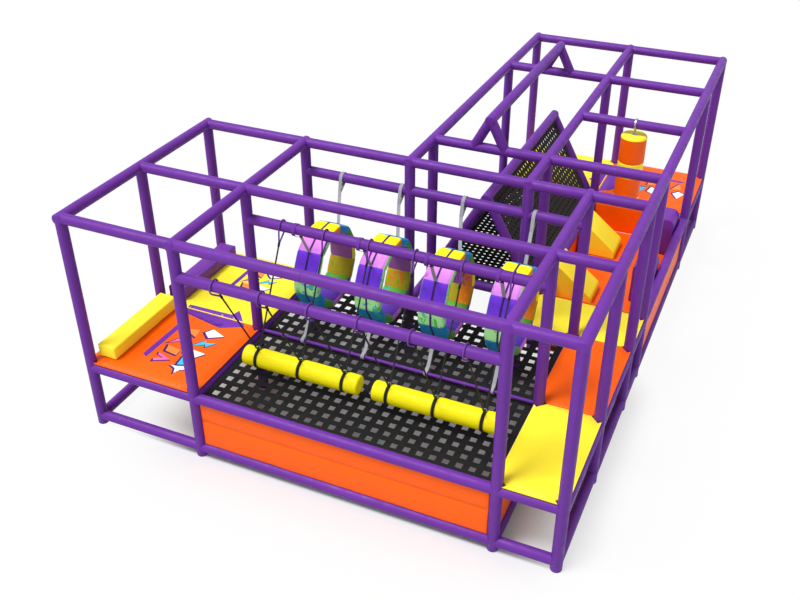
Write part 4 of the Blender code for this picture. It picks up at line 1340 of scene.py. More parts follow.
@dataclass(frozen=True)
class NetFloor:
    """The floor of woven flat straps in the centre bay, and its vinyl skirts."""

    columns: int = 24
    rows: int = 19
    hole: float = 0.060
    strap_t: float = 0.0034
    weave: float = 0.0021
    edge_t: float = 0.0098
    crease_drop: float = 0.215
    crease_depth: float = 0.006

    def woven(
        self, length: float, crossings: int, width: float, start: Vector, way: Vector, sign: float
    ) -> Mesh:
        """Make one strap that passes over and under the straps that it crosses.

        Args:
            length: Its length.
            crossings: How many straps it crosses.
            width: Its width.
            start: Its first point.
            way: Its direction.
            sign: 1 if it starts over the first strap, else -1.

        Returns:
            A closed shell.
        """
        steps = (crossings * 2 - 1) * 3
        path = []
        for k in range(steps + 1):
            share = k / steps
            # Strap middles lie at even crossings of the wave
            phase = math.pi * share * (crossings - 1) * (1.0 + 1.0 / (2 * crossings))
            lift = self.weave * math.cos(phase) * sign
            path.append(start + way * (share * length) + AXIS_Z * lift)
        return sweep(path, flat_section(width, self.strap_t), AXIS_Z.cross(way))

    def build(self) -> None:
        """Weave the net, edge it and hang the skirts."""
        low, high = (Vector(corner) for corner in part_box("net_floor"))
        z = (low.z + high.z) / 2.0
        length, width = high.x - low.x, high.y - low.y
        strap_x = (length - (self.columns - 1) * self.hole) / self.columns
        strap_y = (width - (self.rows - 1) * self.hole) / self.rows
        work = bmesh.new()
        for sign, count, crossings, run, wide, way, across in (
            (1.0, self.rows, self.columns, length, strap_y, AXIS_X, AXIS_Y),
            (-1.0, self.columns, self.rows, width, strap_x, AXIS_Y, AXIS_X),
        ):
            for number in range(count):
                start = Vector((low.x, low.y, z)) + across * (wide / 2.0)
                start += across * ((wide + self.hole) * number)
                absorb(work, self.woven(run, crossings, wide, start, way, sign))
                sign = -sign
        # A sewn edge strap ties the ends of the others on all four sides
        half = (strap_x * 0.42, strap_y * 0.42)
        for strap in edge_straps(
                Vector((low.x + half[0], low.y + half[1], z)),
                Vector((high.x - half[0], high.y - half[1], z)), half, 0.98, self.edge_t, 12):
            absorb(work, strap)
        deliver(work, "net_floor_straps", "frame", NET_CLOTH, ("net_floor",))
        self.skirts()

    def skirts(self) -> None:
        """Make the padded vinyl skirts with one level crease."""
        cover = Upholstery(0.008, 0.045, 0.002, 0.04, 0.001, 0.001, 0.0012, 0.002)
        for node, axis, sign in (("skirt_front", 1, -1.0), ("skirt_side", 0, 1.0)):
            low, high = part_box(node)
            work = box_shell(low, high)
            crease = high[2] - self.crease_drop
            rule(work, 2, [crease + step for step in (-0.006, -0.002, 0.002, 0.006)])
            cover.dress(work, 2.2 + axis)
            for vert in work.verts:
                gap = abs(vert.co.z - crease)
                depth = self.crease_depth * math.exp(-((gap / 0.006) ** 2))
                sag = 0.004 * math.exp(-((gap / 0.07) ** 2))
                if (vert.co[axis] - (low[axis] + high[axis]) / 2.0) * sign > 0.004:
                    vert.co[axis] -= sign * (depth + sag)
            deliver(work, node + "_cover", "frame", ORANGE_PAD, (node,))


@dataclass(frozen=True)
class NetTunnel:
    """The perforated net sheets of the A-frame tunnel and its floor."""

    grid: Grid
    pitch: float = 0.072
    hole: float = 0.029
    sheet_t: float = 0.007
    hem_w: float = 0.05
    hem_t: float = 0.0115

    def panel(self, width: float, length: float) -> Mesh:
        """Make a flat sheet with square holes, centred on the origin.

        Args:
            width: Its size along X.
            length: Its size along Y.

        Returns:
            A closed shell with a hem on all four sides.
        """
        inner = (width - 1.2 * self.hem_w, length - 1.2 * self.hem_w)
        work = flat_sheet(*inner, *(round(side / self.pitch) for side in inner))
        cells = work.faces[:]
        bmesh.ops.inset_individual(
            work, faces=cells, thickness=(self.pitch - self.hole) / 2.0, use_even_offset=True)
        bmesh.ops.delete(work, geom=cells, context="FACES")
        bmesh.ops.solidify(work, geom=work.faces[:], thickness=self.sheet_t)
        shift(work, (0.0, 0.0, -min(v.co.z for v in work.verts) - self.sheet_t / 2.0))
        face_out(work)
        sheet = work.loops.layers.uv.new("cloth")
        for face in work.faces:
            for loop in face.loops:
                loop[sheet].uv = loop.vert.co.xy
        half = self.hem_w / 2.0
        corner = Vector((width / 2.0 - half, length / 2.0 - half, 0.0))
        for strap in edge_straps(-corner, corner, (half, half), 1.0, self.hem_t, 10):
            absorb(work, strap)
        return work

    def build(self) -> None:
        """Make both slopes and the floor."""
        g = self.grid
        clear = g.rail_r + g.gap
        y_low, y_high = g.y[3] + clear, g.y[5] - clear
        ridge = Vector((g.ridge, 0.0, g.ridge_z))
        for node, foot_x in (("tunnel_net_left", g.xa), ("tunnel_net_right", g.xb)):
            foot = Vector((foot_x, 0.0, g.deck))
            down = (foot - ridge).normalized()
            middle = (ridge + foot) / 2.0
            middle.y = (y_low + y_high) / 2.0
            frame = Matrix((AXIS_Y, down, AXIS_Y.cross(down))).transposed().to_4x4()
            work = self.panel(
                y_high - y_low, (foot - ridge).length - 2.0 * (g.side_rail_r + g.gap))
            bmesh.ops.transform(work, matrix=Matrix.Translation(middle) @ frame, verts=work.verts)
            deliver(work, node + "_sheet", "frame", NET_CLOTH, (node,), crease=30.0)
        low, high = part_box("tunnel_net_floor")
        work = self.panel(high[0] - low[0], high[1] - low[1])
        shift(work, (Vector(low) + Vector(high)) / 2.0)
        deliver(work, "tunnel_net_floor_sheet", "frame", NET_CLOTH, ("tunnel_net_floor",),
                crease=30.0)


# ---------------------------------------------------------------- hung pieces


def teardrop(centre: Vector, radius: float, toward: Vector, length: float) -> list[Vector]:
    """Draw a loop round a bar that closes at a point below it.

    Args:
        centre: Middle of the bar.
        radius: Radius of the loop round it.
        toward: Unit direction in which the loop closes, across the bar.
        length: How far from the centre it closes.

    Returns:
        Points of the loop, from the closing point round and back to it.
    """
    side = AXIS_X.cross(toward).normalized()
    opening = math.acos(radius / length)
    steps = 22
    turn = (math.tau - 2.0 * opening) * (steps + 1) / steps
    join = centre + toward * length
    return [join, *circle(centre, radius, toward, side, steps + 1, opening, turn), join]


@dataclass(frozen=True)
class SwingLogs:
    """Two foam logs on three V-shaped ropes each."""

    grid: Grid
    radius: float = 0.100
    length: float = 1.25
    log_z: float = 0.905
    round_end: float = 0.022
    first_x: float = 0.860
    pitch: float = 1.40
    band_pitch: float = 0.47
    band_width: float = 0.032
    band_t: float = 0.004
    wire_r: float = 0.004
    ring_r: float = 0.016
    ring_sink: float = 0.006
    rope_r: float = 0.008
    rope_play: float = 0.0006
    seat: float = 0.060
    loop_inner: float = 0.060
    loop_close: float = 0.17
    squeeze: float = 0.0065
    squeeze_width: float = 0.026
    fold: float = 0.0008
    dent: float = 0.0015
    seam: float = 0.0025

    def bands(self) -> Triple:
        """Return the places of the bands along a log."""
        return -self.band_pitch, 0.0, self.band_pitch

    def profile(self) -> list[Pair]:
        """Draw half the outline of a log, squeezed in a little at its bands.

        Returns:
            Places along the log and radii.
        """
        half, soft = self.length / 2.0, self.round_end
        shoulder = self.radius - soft
        cap = [(half, shoulder * 0.93), (half - 0.001, shoulder * 0.6), (half - 0.002, 0.0)]
        points = [(-x, reach) for x, reach in cap[::-1]]
        points += bend(soft - half, shoulder, soft, 165.0, 90.0, 5)
        x = -half + soft + 0.012
        while x < half - soft - 0.006:
            held = sum(
                math.exp(-(((x - band) / self.squeeze_width) ** 2)) for band in self.bands())
            points.append((x, self.radius - self.squeeze * held))
            x += 0.0125
        return points + bend(half - soft, shoulder, soft, 90.0, 15.0, 5) + cap

    def body(self, centre: Vector) -> Mesh:
        """Make a log's cover, gathered into folds beside the bands.

        Args:
            centre: Middle of the log.

        Returns:
            A closed shell.
        """
        work = turned(self.profile(), centre, AXIS_X, 72)
        for vert in work.verts:
            place = vert.co - centre
            angle = math.atan2(place.z, place.y)
            if math.hypot(place.y, place.z) < 0.5 * self.radius:
                continue
            fold = sum(math.exp(-(((abs(place.x - band) - 0.022) / 0.018) ** 2))
                       for band in self.bands())
            wave = math.sin(17.0 * angle + 3.0 * place.x) + 0.6 * math.sin(29.0 * angle)
            broad = noise.noise(Vector((place.x * 3.0, angle, centre.x)))
            seam = self.seam * math.exp(-(((angle + 1.2) / 0.035) ** 2))
            out = Vector((0.0, place.y, place.z)).normalized()
            vert.co += out * (self.fold * wave * fold + self.dent * (broad - 0.5) - seam)
        return work

    def band(self, centre: Vector) -> Mesh:
        """Make a strap round the log with its overlapped end.

        Args:
            centre: Middle of the band.

        Returns:
            Closed shells.
        """
        radius = self.radius + self.band_t - 0.0019
        work = sweep(circle(centre, radius, AXIS_Y, AXIS_Z, 64),
                     flat_section(self.band_width, 0.007), AXIS_X, closed=True)
        lap = circle(centre, radius + 0.0022, AXIS_Y, AXIS_Z, 10, math.radians(200.0),
                     math.radians(50.0))
        absorb(work, sweep(lap, flat_section(self.band_width * 0.96, 0.004), AXIS_X))
        return work

    def rope(self, x: float, y: float, apex: float, loop_z: float) -> Mesh:
        """Make one V rope: a loop on each guard rail and a seat through the log's ring.

        Args:
            x: Its plane.
            y: Middle of its seat.
            apex: Height of the seat.
            loop_z: Height of the loops' middles.

        Returns:
            Closed shells; the loops have material index 1.
        """
        work = bmesh.new()
        section = round_section(self.rope_r)
        joins = []
        for rail_y in self.grid.y[:2]:
            centre = Vector((x, rail_y, loop_z))
            toward = (Vector((x, y, apex)) - centre).normalized()
            loop = teardrop(centre, self.loop_inner + self.rope_r, toward, self.loop_close)
            absorb(work, dyed(sweep(loop, section, AXIS_X), 1))
            joins.append(loop[0])
            absorb(work, self.whipping([loop[0] + toward * (0.004 * k - 0.026)
                                        for k in range(14)]))
        seat = [Vector((x, y + side * self.seat / 2.0, apex)) for side in (-1.0, 1.0)]
        dip = Vector((0.0, 0.004, 0.0015))
        run = [joins[0].lerp(seat[0], k / 10.0) for k in range(10)]
        run += [seat[0] + (joins[0] - seat[0]).normalized() * 0.02, seat[0] + dip,
                seat[0].lerp(seat[1], 0.35), seat[0].lerp(seat[1], 0.65),
                seat[1] + Vector((0.0, -dip.y, dip.z)),
                seat[1] + (joins[1] - seat[1]).normalized() * 0.02]
        run += [seat[1].lerp(joins[1], (k + 1) / 10.0) for k in range(10)]
        absorb(work, sweep(run, section, AXIS_X))
        return work

    def whipping(self, path: Sequence[Vector]) -> Mesh:
        """Make the tight turns of twine that hold a loop closed.

        Args:
            path: Ends of the turns.

        Returns:
            Closed shells.
        """
        work = bmesh.new()
        work.loops.layers.uv.verify()
        for first, last in zip(path, path[1:]):
            absorb(work, rod(first, last.lerp(first, 0.08), self.rope_r * 1.55, 16, 0.0014))
        return work

    def build(self) -> None:
        """Make both logs with their bands, rings and ropes."""
        g = self.grid
        y = (g.y[0] + g.y[1]) / 2.0
        ring_z = self.log_z + self.radius + self.band_t - self.ring_sink + self.ring_r + self.wire_r
        apex = ring_z + self.ring_r - self.wire_r - self.rope_r - self.rope_play
        loop_z = g.guard + g.rail_r + g.gap - self.loop_inner
        for number, letter in enumerate("ab"):
            middle = Vector((g.x[1] + self.first_x + number * self.pitch, y, self.log_z))
            carrier = "log_" + letter
            deliver(self.body(middle), carrier + "_cover", carrier, LOG_PAD,
                    ("swing_log_" + letter,))
            bands, rings = bmesh.new(), bmesh.new()
            for index, along in enumerate(self.bands(), start=1):
                x = middle.x + along
                absorb(bands, self.band(Vector((x, y, self.log_z))))
                ring = circle(Vector((x, y, ring_z)), self.ring_r, AXIS_X, AXIS_Z, 36)
                absorb(rings, sweep(ring, round_section(self.wire_r), AXIS_Y, closed=True))
                name = f"rope_{letter}{index}"
                deliver(self.rope(x, y, apex, loop_z), name + "_braid", name,
                        [BLACK_ROPE, PURPLE_ROPE], (name,))
            deliver(bands, carrier + "_bands", carrier, BLACK_WEBBING)
            deliver(rings, carrier + "_rings", carrier, ZINC)


@dataclass(frozen=True)
class CrawlHoops:
    """Four twelve-sided foam hoops in sewn panels, each hung in a belt of straps."""

    grid: Grid
    count: int = 4
    first_x: float = 0.51
    pitch: float = 0.687
    radius: float = 0.46
    wall: float = 0.09
    width: float = 0.28
    centre_z: float = 1.345
    sides: int = 12
    steps: int = 8
    corner: float = 0.026
    strap_w: float = 0.038
    belt_w: float = 0.020
    belt_t: float = 0.004
    hang_play: float = 0.00085
    loop_r: float = 0.060
    low_loop_r: float = 0.028
    low_play: float = 0.005
    front_x: float = 0.030
    rear_x: float = -0.070
    post_clear: float = 0.010
    seam_turn: float = 1.5
    seam_share: float = 0.075
    belly: float = 0.0025
    dent: float = 0.0022
    belt_sink: float = 0.0048

    # Each row gives a panel's vinyl from the top towards the front; the darkened pink and yellow in
    # them are painted shade on the inner far-side panels and the rear lower ones.
    OUTER = ("YELLOW", "PINK", "VIOLET", "MINT", "BLUE", "GREEN", "GRAPE", "ORANGE",
             "PLUM", "OLIVE", "GREEN", "BLUE")
    INNER = ("PLUM", "ORANGE", "VIOLET", "MINT", "BLUE", "GREEN", "GRAPE", "GREEN",
             "OLIVE", "PLUM", "PLUM", "PLUM")
    RIM = ("ORANGE", "MINT", "MINT", "MINT", "BLUE", "GREEN", "PINK", "GRAPE",
           "OLIVE", "YELLOW", "GREEN", "BLUE")

    def facet(self, place: Vector) -> tuple[int, float]:
        """Find the panel at a place.

        Args:
            place: The place from the hoop's middle.

        Returns:
            The panel's number, from the top to the front, and the angle from its middle.
        """
        angle = math.atan2(-place.y, place.z)
        turn = math.tau / self.sides
        number = round(angle / turn)
        return number % self.sides, angle - number * turn

    def ring(self, centre: Vector, number: int) -> Mesh:
        """Make the foam ring: a rounded section spun about X, drawn in at each panel seam.

        Args:
            centre: Its middle.
            number: Which hoop it is.

        Returns:
            A closed shell, with the panels' colours.
        """
        half = math.pi / self.sides
        middle = self.radius - self.wall / 2.0
        work = flat_sheet(self.width, self.wall)
        soften(work, work.verts[:], self.corner, 4, "VERTICES")
        rule(work, 0, even_places(-self.width / 2.0, self.width / 2.0, 0.024))
        inner = [edge for edge in work.edges if not edge.is_boundary]
        bmesh.ops.delete(work, geom=inner, context="EDGES_FACES")
        bmesh.ops.rotate(work, matrix=Matrix.Rotation(QUARTER, 3, "X"), verts=work.verts)
        shift(work, centre + AXIS_Z * middle)
        spun(work, centre, AXIS_X, self.sides * self.steps, 0.00002)
        for vert in work.verts:
            place = vert.co - centre
            _, off = self.facet(place)
            reach = math.hypot(place.y, place.z)
            seam = math.exp(-(((half - abs(off)) / math.radians(self.seam_turn)) ** 2))
            belt = math.exp(-((place.x / 0.022) ** 2)) if reach > middle else 0.0
            local = (reach - middle) * (1.0 - self.seam_share * seam)
            full = math.cos(math.pi * place.x / self.width)
            local += self.belly * full * math.copysign(1.0, local)
            broad = noise.noise(place * 5.0 + AXIS_X * (number * 7.0))
            local += self.dent * (broad - 0.4) - self.belt_sink * belt
            out = Vector((0.0, place.y, place.z)).normalized()
            vert.co = (centre + out * ((middle + local) * math.cos(half) / math.cos(off))
                       + AXIS_X * (place.x * (1.0 - 0.03 * seam)))
        work.normal_update()
        names = [vinyl.name for vinyl in HoopVinyl]
        for face in work.faces:
            place = face.calc_center_median() - centre
            panel, _ = self.facet(place)
            outwards = face.normal.dot(Vector((0.0, place.y, place.z))) > 0.0
            row = self.OUTER if outwards else self.INNER
            if abs(face.normal.x) > 0.75:
                row = self.RIM
            warm = row is self.INNER and number >= 2 and panel in (8, 9) and place.x > 0.0
            face.material_index = names.index("ORANGE" if warm else row[panel])
        return work

    def belt(self, centre: Vector) -> Mesh:
        """Make the belt round the ring, eased at the corners.

        Args:
            centre: Middle of the hoop.

        Returns:
            A closed shell with material index 1.
        """
        half = math.pi / self.sides
        base = self.radius + self.grid.gap + self.belt_t / 2.0
        count = self.sides * 8
        path = []
        for out in circle(Vector(), 1.0, AXIS_Z, -AXIS_Y, count, math.pi / count):
            _, off = self.facet(out)
            eased = min(base * math.cos(half) / math.cos(off), base * 0.994)
            path.append(centre + out * (eased - 0.0012))
        return dyed(sweep(path, flat_section(self.belt_w, self.belt_t), AXIS_X, closed=True), 1)

    def hang(self, place: Vector, bore: float, corner: Vector, keeper: int) -> Mesh:
        """Make a strap from a rail loop to the belt, with its sewn overlap.

        Args:
            place: Middle of the rail loop.
            bore: Its inner radius.
            corner: Where the strap meets the belt.
            keeper: Material index of the loop.

        Returns:
            Closed shells.
        """
        way = corner - place
        flat = Vector((0.0, way.y, way.z)).normalized()
        closing = bore + (0.10 if bore > 0.04 else 0.045)
        loop = teardrop(place, bore + self.belt_t / 2.0, flat, closing)
        section = flat_section(self.strap_w, self.belt_t)
        lap_section = flat_section(self.strap_w * 0.94, self.belt_t * 1.9)
        join = loop[0]
        run = [join - flat * 0.012] + [join.lerp(corner, k / 10.0) for k in range(11)]
        work = dyed(sweep(loop, section, AXIS_X), keeper)
        absorb(work, sweep(run, section, AXIS_X))
        absorb(work, sweep([join.lerp(corner, 0.03 * k) for k in range(4)], lap_section, AXIS_X))
        return work

    def clear_of_posts(self, x: float) -> float:
        """Find the nearest place on the rear guard rail where a strap clears the uprights.

        Args:
            x: The place wished for.

        Returns:
            The place found.
        """
        need = self.grid.post_r + self.strap_w / 2.0 + self.post_clear
        for post_x in (self.grid.xa, self.grid.xb):
            if abs(x - post_x) < need:
                return post_x + math.copysign(need, x - post_x)
        return x

    def build(self) -> None:
        """Make the four hoops and their harnesses."""
        g = self.grid
        y = (g.y[1] + g.y[2]) / 2.0
        reach = (self.radius + g.gap + self.belt_t / 2.0) * 0.985
        diagonal = reach * math.sin(math.radians(45.0))
        hang_z = g.guard + g.rail_r + self.hang_play - self.loop_r
        low_z = g.thin_rail_z + self.low_loop_r - g.thin_rail_r - self.low_play
        for number in range(self.count):
            x = g.x[1] + self.first_x + number * self.pitch
            centre = Vector((x, y, self.centre_z))
            body = f"hoop_{number + 1}"
            node, harness = f"crawl_hoop_{number + 1}", f"hoop_harness_{number + 1}"
            deliver(self.ring(centre, number), node + "_cover", body,
                    [vinyl.value for vinyl in HoopVinyl], (node,))
            work = self.belt(centre)
            rear = self.clear_of_posts(x + self.rear_x)
            for place, bore, side, lift, keeper in (
                ((x + self.front_x, g.y[1], hang_z), self.loop_r, -1.0, 1.0, 2),
                ((rear, g.y[2], hang_z), self.loop_r, 1.0, 1.0, 0),
                ((x + self.front_x, g.y[1], low_z), self.low_loop_r, -1.0, -1.0, 0),
            ):
                corner = centre + Vector((0.0, side * diagonal, lift * diagonal))
                absorb(work, self.hang(Vector(place), bore, corner, keeper))
            deliver(work, harness + "_straps", body, [GREY_STRAP, BELT_WEBBING, KEEPER],
                    (harness,))


@dataclass(frozen=True)
class PunchingBag:
    """The banded bag, its eye and the steel hanger round the bag rail."""

    grid: Grid
    radius: float = 0.145
    top_z: float = 2.285
    length: float = 0.79
    rounding: float = 0.035
    offset_x: float = 0.62
    wire_r: float = 0.006
    band_w: float = 0.024
    pin_drop: float = 0.022
    cheek_t: float = 0.005
    fork_w: float = 0.022
    play: float = 0.0008
    eye_wire: float = 0.004
    eye_r: float = 0.0125
    plate_r: float = 0.034
    rivet_circle: float = 0.024
    inset: float = 0.003
    groove: float = 0.003
    belly: float = 0.002
    dent: float = 0.0015
    seam: float = 0.0022

    BANDS = ((0.035, 0), (0.315, 1), (0.485, 0), (0.745, 1), (9.0, 0))

    def profile(self) -> list[Pair]:
        """Draw half the outline from the top down, with a seam groove between the bands.

        Returns:
            Heights and radii.
        """
        top, soft = self.top_z, self.rounding
        bottom, inner = top - self.length, self.radius - soft
        points = [(top, 0.0), (top - 0.001, 0.05), (top - 0.0015, inner)]
        points += bend(top - soft, inner, soft, 15.0, 90.0, 5)
        seams = [depth for depth, _ in self.BANDS[:-1]]
        places = {round(soft + 0.0125 * k, 4) for k in range(1, 58)}
        places |= {seam + step for seam in seams for step in (-0.004, 0.0, 0.004)}
        for depth in sorted(places):
            if soft < depth < self.length - soft:
                groove = sum(
                    self.groove * math.exp(-(((depth - d) / 0.004) ** 2)) for d in seams)
                belly = self.belly * math.sin(math.pi * depth / self.length)
                points.append((top - depth, self.radius - self.inset - groove + belly))
        return points + bend(bottom + soft, inner, soft, 90.0, 180.0, 6) + [(bottom, 0.0)]

    def build(self) -> None:
        """Make the bag, its eye plate and the hanger."""
        g = self.grid
        x, y = g.xb + self.offset_x, g.y[4]
        pin_z = g.top - g.rail_r - self.pin_drop - self.wire_r
        work = turned(self.profile(), Vector((x, y, 0.0)), AXIS_Z, 64)
        for vert in work.verts:
            place = vert.co - Vector((x, y, vert.co.z))
            angle = math.atan2(place.y, place.x)
            if place.length > 0.05:
                broad = noise.noise(Vector((math.cos(angle) * 1.5, vert.co.z * 5.0, 4.0)))
                seam = self.seam * math.exp(-(((angle - 2.2) / 0.03) ** 2))
                vert.co += place.normalized() * (self.dent * (broad - 0.4) - seam)
        for face in work.faces:
            depth = self.top_z - face.calc_center_median().z
            face.material_index = next(i for limit, i in self.BANDS if depth < limit)
        deliver(work, "punching_bag_cover", "bag", [YELLOW_PAD, ORANGE_PAD], ("punching_bag",))
        eye = Vector((x, y, pin_z + self.wire_r + self.play - self.eye_r + self.eye_wire))
        foot = Vector((x, y, self.top_z - 0.004))
        steel = sweep(circle(eye, self.eye_r, AXIS_X, AXIS_Z, 32), round_section(self.eye_wire),
                      AXIS_Y, closed=True)
        absorb(steel, rod(eye - AXIS_Z * self.eye_r, foot, self.eye_wire, 16, 0.001))
        absorb(steel, rod(foot, foot + AXIS_Z * 0.007, self.plate_r, 32, 0.0015))
        for spot in circle(Vector((x, y, self.top_z)), self.rivet_circle, AXIS_X, AXIS_Y, 4,
                           QUARTER / 2.0):
            absorb(steel, rod(spot, spot + AXIS_Z * 0.0055, 0.004, 12, 0.0015))
        deliver(steel, "punching_bag_eye", "bag", ZINC)

        loop = circle(Vector((x, y, g.top)), g.rail_r + self.play + self.wire_r, AXIS_Y, AXIS_Z,
                      48)
        hanger = sweep(loop, flat_section(self.band_w, 2.0 * self.wire_r), AXIS_X, closed=True)
        half = self.fork_w / 2.0
        pin = Vector((x, y, pin_z))
        pin_half = AXIS_Y * (half + self.cheek_t + 0.003)
        absorb(hanger, rod(pin - pin_half, pin + pin_half, self.wire_r, 20, 0.0015))
        cheek_x, cheek_top = self.wire_r * 1.4, g.top - g.rail_r - self.wire_r
        for inner_y in (y - half - self.cheek_t, y + half):
            cheek = box_shell((x - cheek_x, inner_y, pin_z - cheek_x),
                              (x + cheek_x, inner_y + self.cheek_t, cheek_top))
            soften(cheek, cheek.edges[:], 0.0018, 3)
            absorb(hanger, cheek)
        deliver(hanger, "bag_hanger_steel", "bag_hanger", ZINC, ("bag_hanger",))


# ---------------------------------------------------------------- sunken pit


@dataclass(frozen=True)
class SunkenPit:
    """The pit: padded floor, risers and sides, two wedges and two blocks."""

    grid: Grid
    floor_z: float = 0.40
    wedge_top: float = 0.87
    wedge_length: float = 0.455
    nose_r: float = 0.07
    wedge_width: float = 0.42
    wedge_starts: Pair = (0.56, 1.71)
    block_width: float = 0.25
    block_height: float = 0.50
    block_round: float = 0.085

    def extruded(self, outline: Sequence[Pair], start: float, end: float) -> Mesh:
        """Give a flat outline a width along Y.

        Args:
            outline: Its points in X and Z.
            start: Lowest Y.
            end: Highest Y.

        Returns:
            A closed shell.
        """
        work = bmesh.new()
        face = work.faces.new([work.verts.new((px, start, pz)) for px, pz in outline])
        made = bmesh.ops.extrude_face_region(work, geom=[face], use_keep_orig=True)
        bmesh.ops.translate(work, vec=(0.0, end - start, 0.0), verts=new_verts(made))
        face_out(work)
        return work

    def wedge_outline(self) -> list[Pair]:
        """Draw the side view of a wedge with a rounded nose.

        Returns:
            Its points in X and Z.
        """
        g = self.grid
        base, back = self.floor_z + g.gap, g.xb + g.side_rail_r + g.gap
        nose = back + self.wedge_length
        centre = Vector((nose - self.nose_r, base + self.nose_r))
        toward = centre - Vector((back, self.wedge_top))
        slope = math.atan2(toward.y, toward.x) + math.asin(self.nose_r / toward.length)
        start = math.degrees(slope) + 90.0
        return [(back, base), (back, self.wedge_top),
                *bend(centre.x, centre.y, self.nose_r, start, 0.0, 8), (nose, base)]

    def block_outline(self) -> list[Pair]:
        """Draw the side view of a block with a round top.

        Returns:
            Its points in X and Z.
        """
        g = self.grid
        base, right = self.floor_z + g.gap, g.x[3] - g.side_rail_r - g.gap
        left, soft = right - self.block_width, self.block_round
        shoulder = base + self.block_height - soft
        return [(left, base), *bend(left + soft, shoulder, soft, 180.0, 90.0, 8),
                *bend(right - soft, shoulder, soft, 90.0, 0.0, 8), (right, base)]

    def build(self) -> None:
        """Make all the pads of the pit."""
        g = self.grid
        panel = Upholstery(0.009, 0.05, 0.002, 0.05, 0.001)
        for number, node in enumerate(("pit_side_left", "pit_side_right", "pit_riser_front",
                                       "pit_riser_rear")):
            panel.cover(node, ORANGE_PAD, 1.7 * number)
        low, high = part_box("pit_floor")
        inset = g.x[3] - g.side_rail_r - g.gap
        upper = g.floor_rail + g.side_rail_r + g.gap
        work = box_shell((low[0], low[1], 0.0), (inset, high[1], self.floor_z))
        Upholstery(0.014, 0.05, 0.003, 0.07, 0.001).dress(work, 9.0)
        absorb(work, box_shell((inset - 0.02, low[1], upper),
                               (high[0], high[1], self.floor_z - 0.004)))
        deliver(work, "pit_floor_cover", "frame", ORANGE_PAD, ("pit_floor",))
        soft = Upholstery(0.013, 0.028, 0.004, 0.06, 0.0025)
        for name, begin in zip(("near", "far"), self.wedge_starts):
            start = g.y[3] + begin
            work = self.extruded(self.wedge_outline(), start, start + self.wedge_width)
            soft.cover("pit_wedge_" + name, YELLOW_PAD, begin, work=work)
        for name in ("near", "far"):
            low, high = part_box("pit_block_" + name)
            work = self.extruded(self.block_outline(), low[1], high[1])
            soft.cover("pit_block_" + name, PURPLE_PAD, 4.0 + low[1], work=work)


# ---------------------------------------------------------------- stage


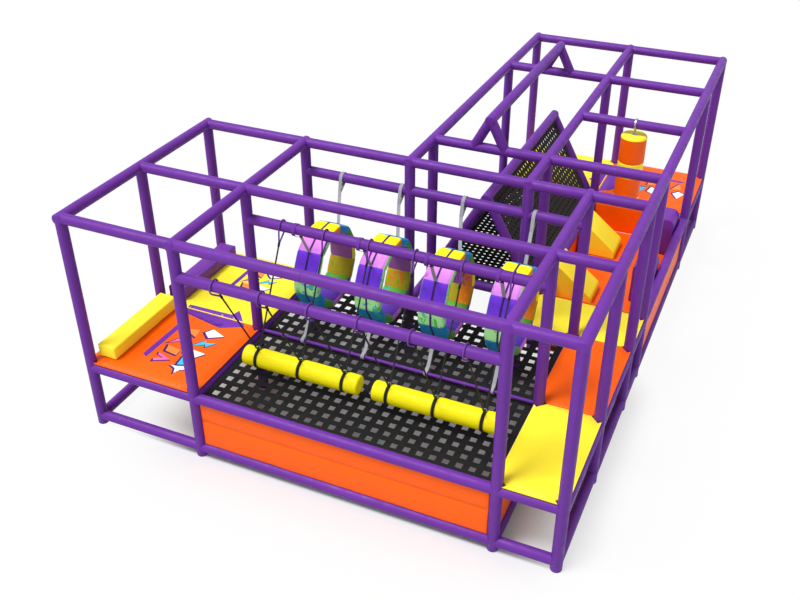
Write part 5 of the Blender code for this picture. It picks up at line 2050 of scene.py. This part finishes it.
@dataclass(frozen=True)
class Studio:
    """Plain pale floor, soft light and the camera at the photograph's angle."""

    camera_place: Triple = (3.5303, -9.1729, 6.5388)
    camera_turn: Triple = (56.9386, 0.0, 23.9837)
    lens: float = 43.265
    sensor: float = 36.0
    floor_size: float = 240.0
    key_strength: float = 3.3
    key_turn: Triple = (20.0, -14.0, -10.0)
    key_width: float = 22.0
    sky_strength: float = 0.72
    shade_low: Triple = (-1.15, -3.3, 0.0)
    shade_high: Triple = (1.8, -1.0, 2.0)
    shade_reach: float = 1.1

    def outside(self, tree: Tree, place: Socket) -> Socket:
        """Measure the distance in plan from the shaded box on the floor, 0 inside it.

        Args:
            tree: The node tree.
            place: The coordinates, in metres.

        Returns:
            The distance socket.
        """
        low, high = Vector(self.shade_low), Vector(self.shade_high)
        socket = place
        for operation, other in (
            ("SUBTRACT", ((low + high) / 2.0) * Vector((1.0, 1.0, 0.0))), ("ABSOLUTE", None),
            ("SUBTRACT", (high - low) / 2.0), ("MAXIMUM", (0.0, 0.0, 0.0)),
        ):
            inputs = {0: socket} if other is None else {0: socket, 1: other}
            node = add_node(tree, "VectorMath", inputs, operation=operation)
            socket = node.outputs["Vector"]
        length = add_node(tree, "VectorMath", {0: socket}, operation="LENGTH")
        return length.outputs["Value"]

    def floor(self) -> None:
        """Lay a pale floor that shows white to the camera and keeps a soft shadow."""
        work = flat_sheet(self.floor_size, self.floor_size)
        shift(work, (0.0, 0.0, -0.0005))
        mesh = meshed(work, "studio_floor")
        paint = bpy.data.materials.new("matt_white_floor_paint")
        paint.use_nodes = True
        tree = paint.node_tree
        tree.nodes.clear()
        rays = add_node(tree, "LightPath").outputs
        seen = rays["Is Camera Ray"]
        for other in ("Is Glossy Ray", "Is Transmission Ray"):
            node = add_node(tree, "Math", {0: seen, 1: rays[other]}, operation="MAXIMUM")
            seen = node.outputs["Value"]
        place = add_node(tree, "TexCoord").outputs["Object"]
        glowing = add_node(tree, "MapRange", {
            "From Max": self.shade_reach, "To Min": 0.0, "To Max": 0.93,
            "Value": self.outside(tree, place)}, interpolation_type="SMOOTHSTEP")
        share = add_node(
            tree, "Math", {0: seen, 1: glowing.outputs["Result"]}, operation="MULTIPLY")
        grain = add_node(tree, "TexNoise", {"Scale": 3.0, "Detail": 3.0})
        tone = add_node(tree, "MapRange", {
            "To Min": 0.62, "To Max": 0.66, "Value": grain.outputs["Fac"]})
        matt = add_node(tree, "BsdfDiffuse", {"Color": tone.outputs["Result"]})
        glow = add_node(tree, "Emission", {"Color": (1.0, 1.0, 1.0, 1.0)})
        mix = add_node(tree, "MixShader", {
            0: share.outputs["Value"], 1: matt.outputs["BSDF"], 2: glow.outputs["Emission"]})
        add_node(tree, "OutputMaterial", {"Surface": mix.outputs["Shader"]})
        mesh.materials.append(paint)
        linked("studio_floor", mesh)

    def world(self) -> None:
        """Set white to the camera and soft grey light for the object."""
        world = bpy.data.worlds.new("studio_sky")
        bpy.context.scene.world = world
        world.use_nodes = True
        tree = world.node_tree
        tree.nodes.clear()
        light, white = (
            add_node(tree, "Background", {"Color": (1.0, 1.0, 1.0, 1.0), "Strength": strength})
            for strength in (self.sky_strength, 1.0))
        mix = add_node(tree, "MixShader", {
            0: add_node(tree, "LightPath").outputs["Is Camera Ray"],
            1: light.outputs["Background"], 2: white.outputs["Background"]})
        add_node(tree, "OutputWorld", {"Surface": mix.outputs["Shader"]})

    def lamps(self) -> None:
        """Hang one broad key, high at the front left."""
        lamp = bpy.data.lights.new("soft_key", "SUN")
        lamp.energy = self.key_strength
        lamp.angle = math.radians(self.key_width)
        linked("soft_key", lamp).rotation_euler = [math.radians(a) for a in self.key_turn]

    def camera(self) -> None:
        """Set the camera, fitted to the photograph."""
        lens = bpy.data.cameras.new("photo_camera")
        lens.lens = self.lens
        lens.sensor_width = self.sensor
        lens.clip_end = 500.0
        obj = linked("photo_camera", lens)
        obj.location = self.camera_place
        obj.rotation_euler = [math.radians(a) for a in self.camera_turn]
        bpy.context.scene.camera = obj

    def build(self) -> None:
        """Set the stage."""
        bpy.context.scene.view_settings.view_transform = "Standard"
        self.camera()
        self.floor()
        self.world()
        self.lamps()


def main() -> None:
    """Load the CAD frame and build every sub-assembly round it."""
    logging.basicConfig(level=logging.INFO, format="%(message)s")
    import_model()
    grid = Grid()
    Studio().build()
    for part in (
        FoamFrame(grid), DeckPads(grid), NetFloor(), SwingLogs(grid), CrawlHoops(grid),
        SunkenPit(grid), NetTunnel(grid), PunchingBag(grid),
    ):
        log.info("building %s", type(part).__name__)
        part.build()


if __name__ == "__main__":
    main()
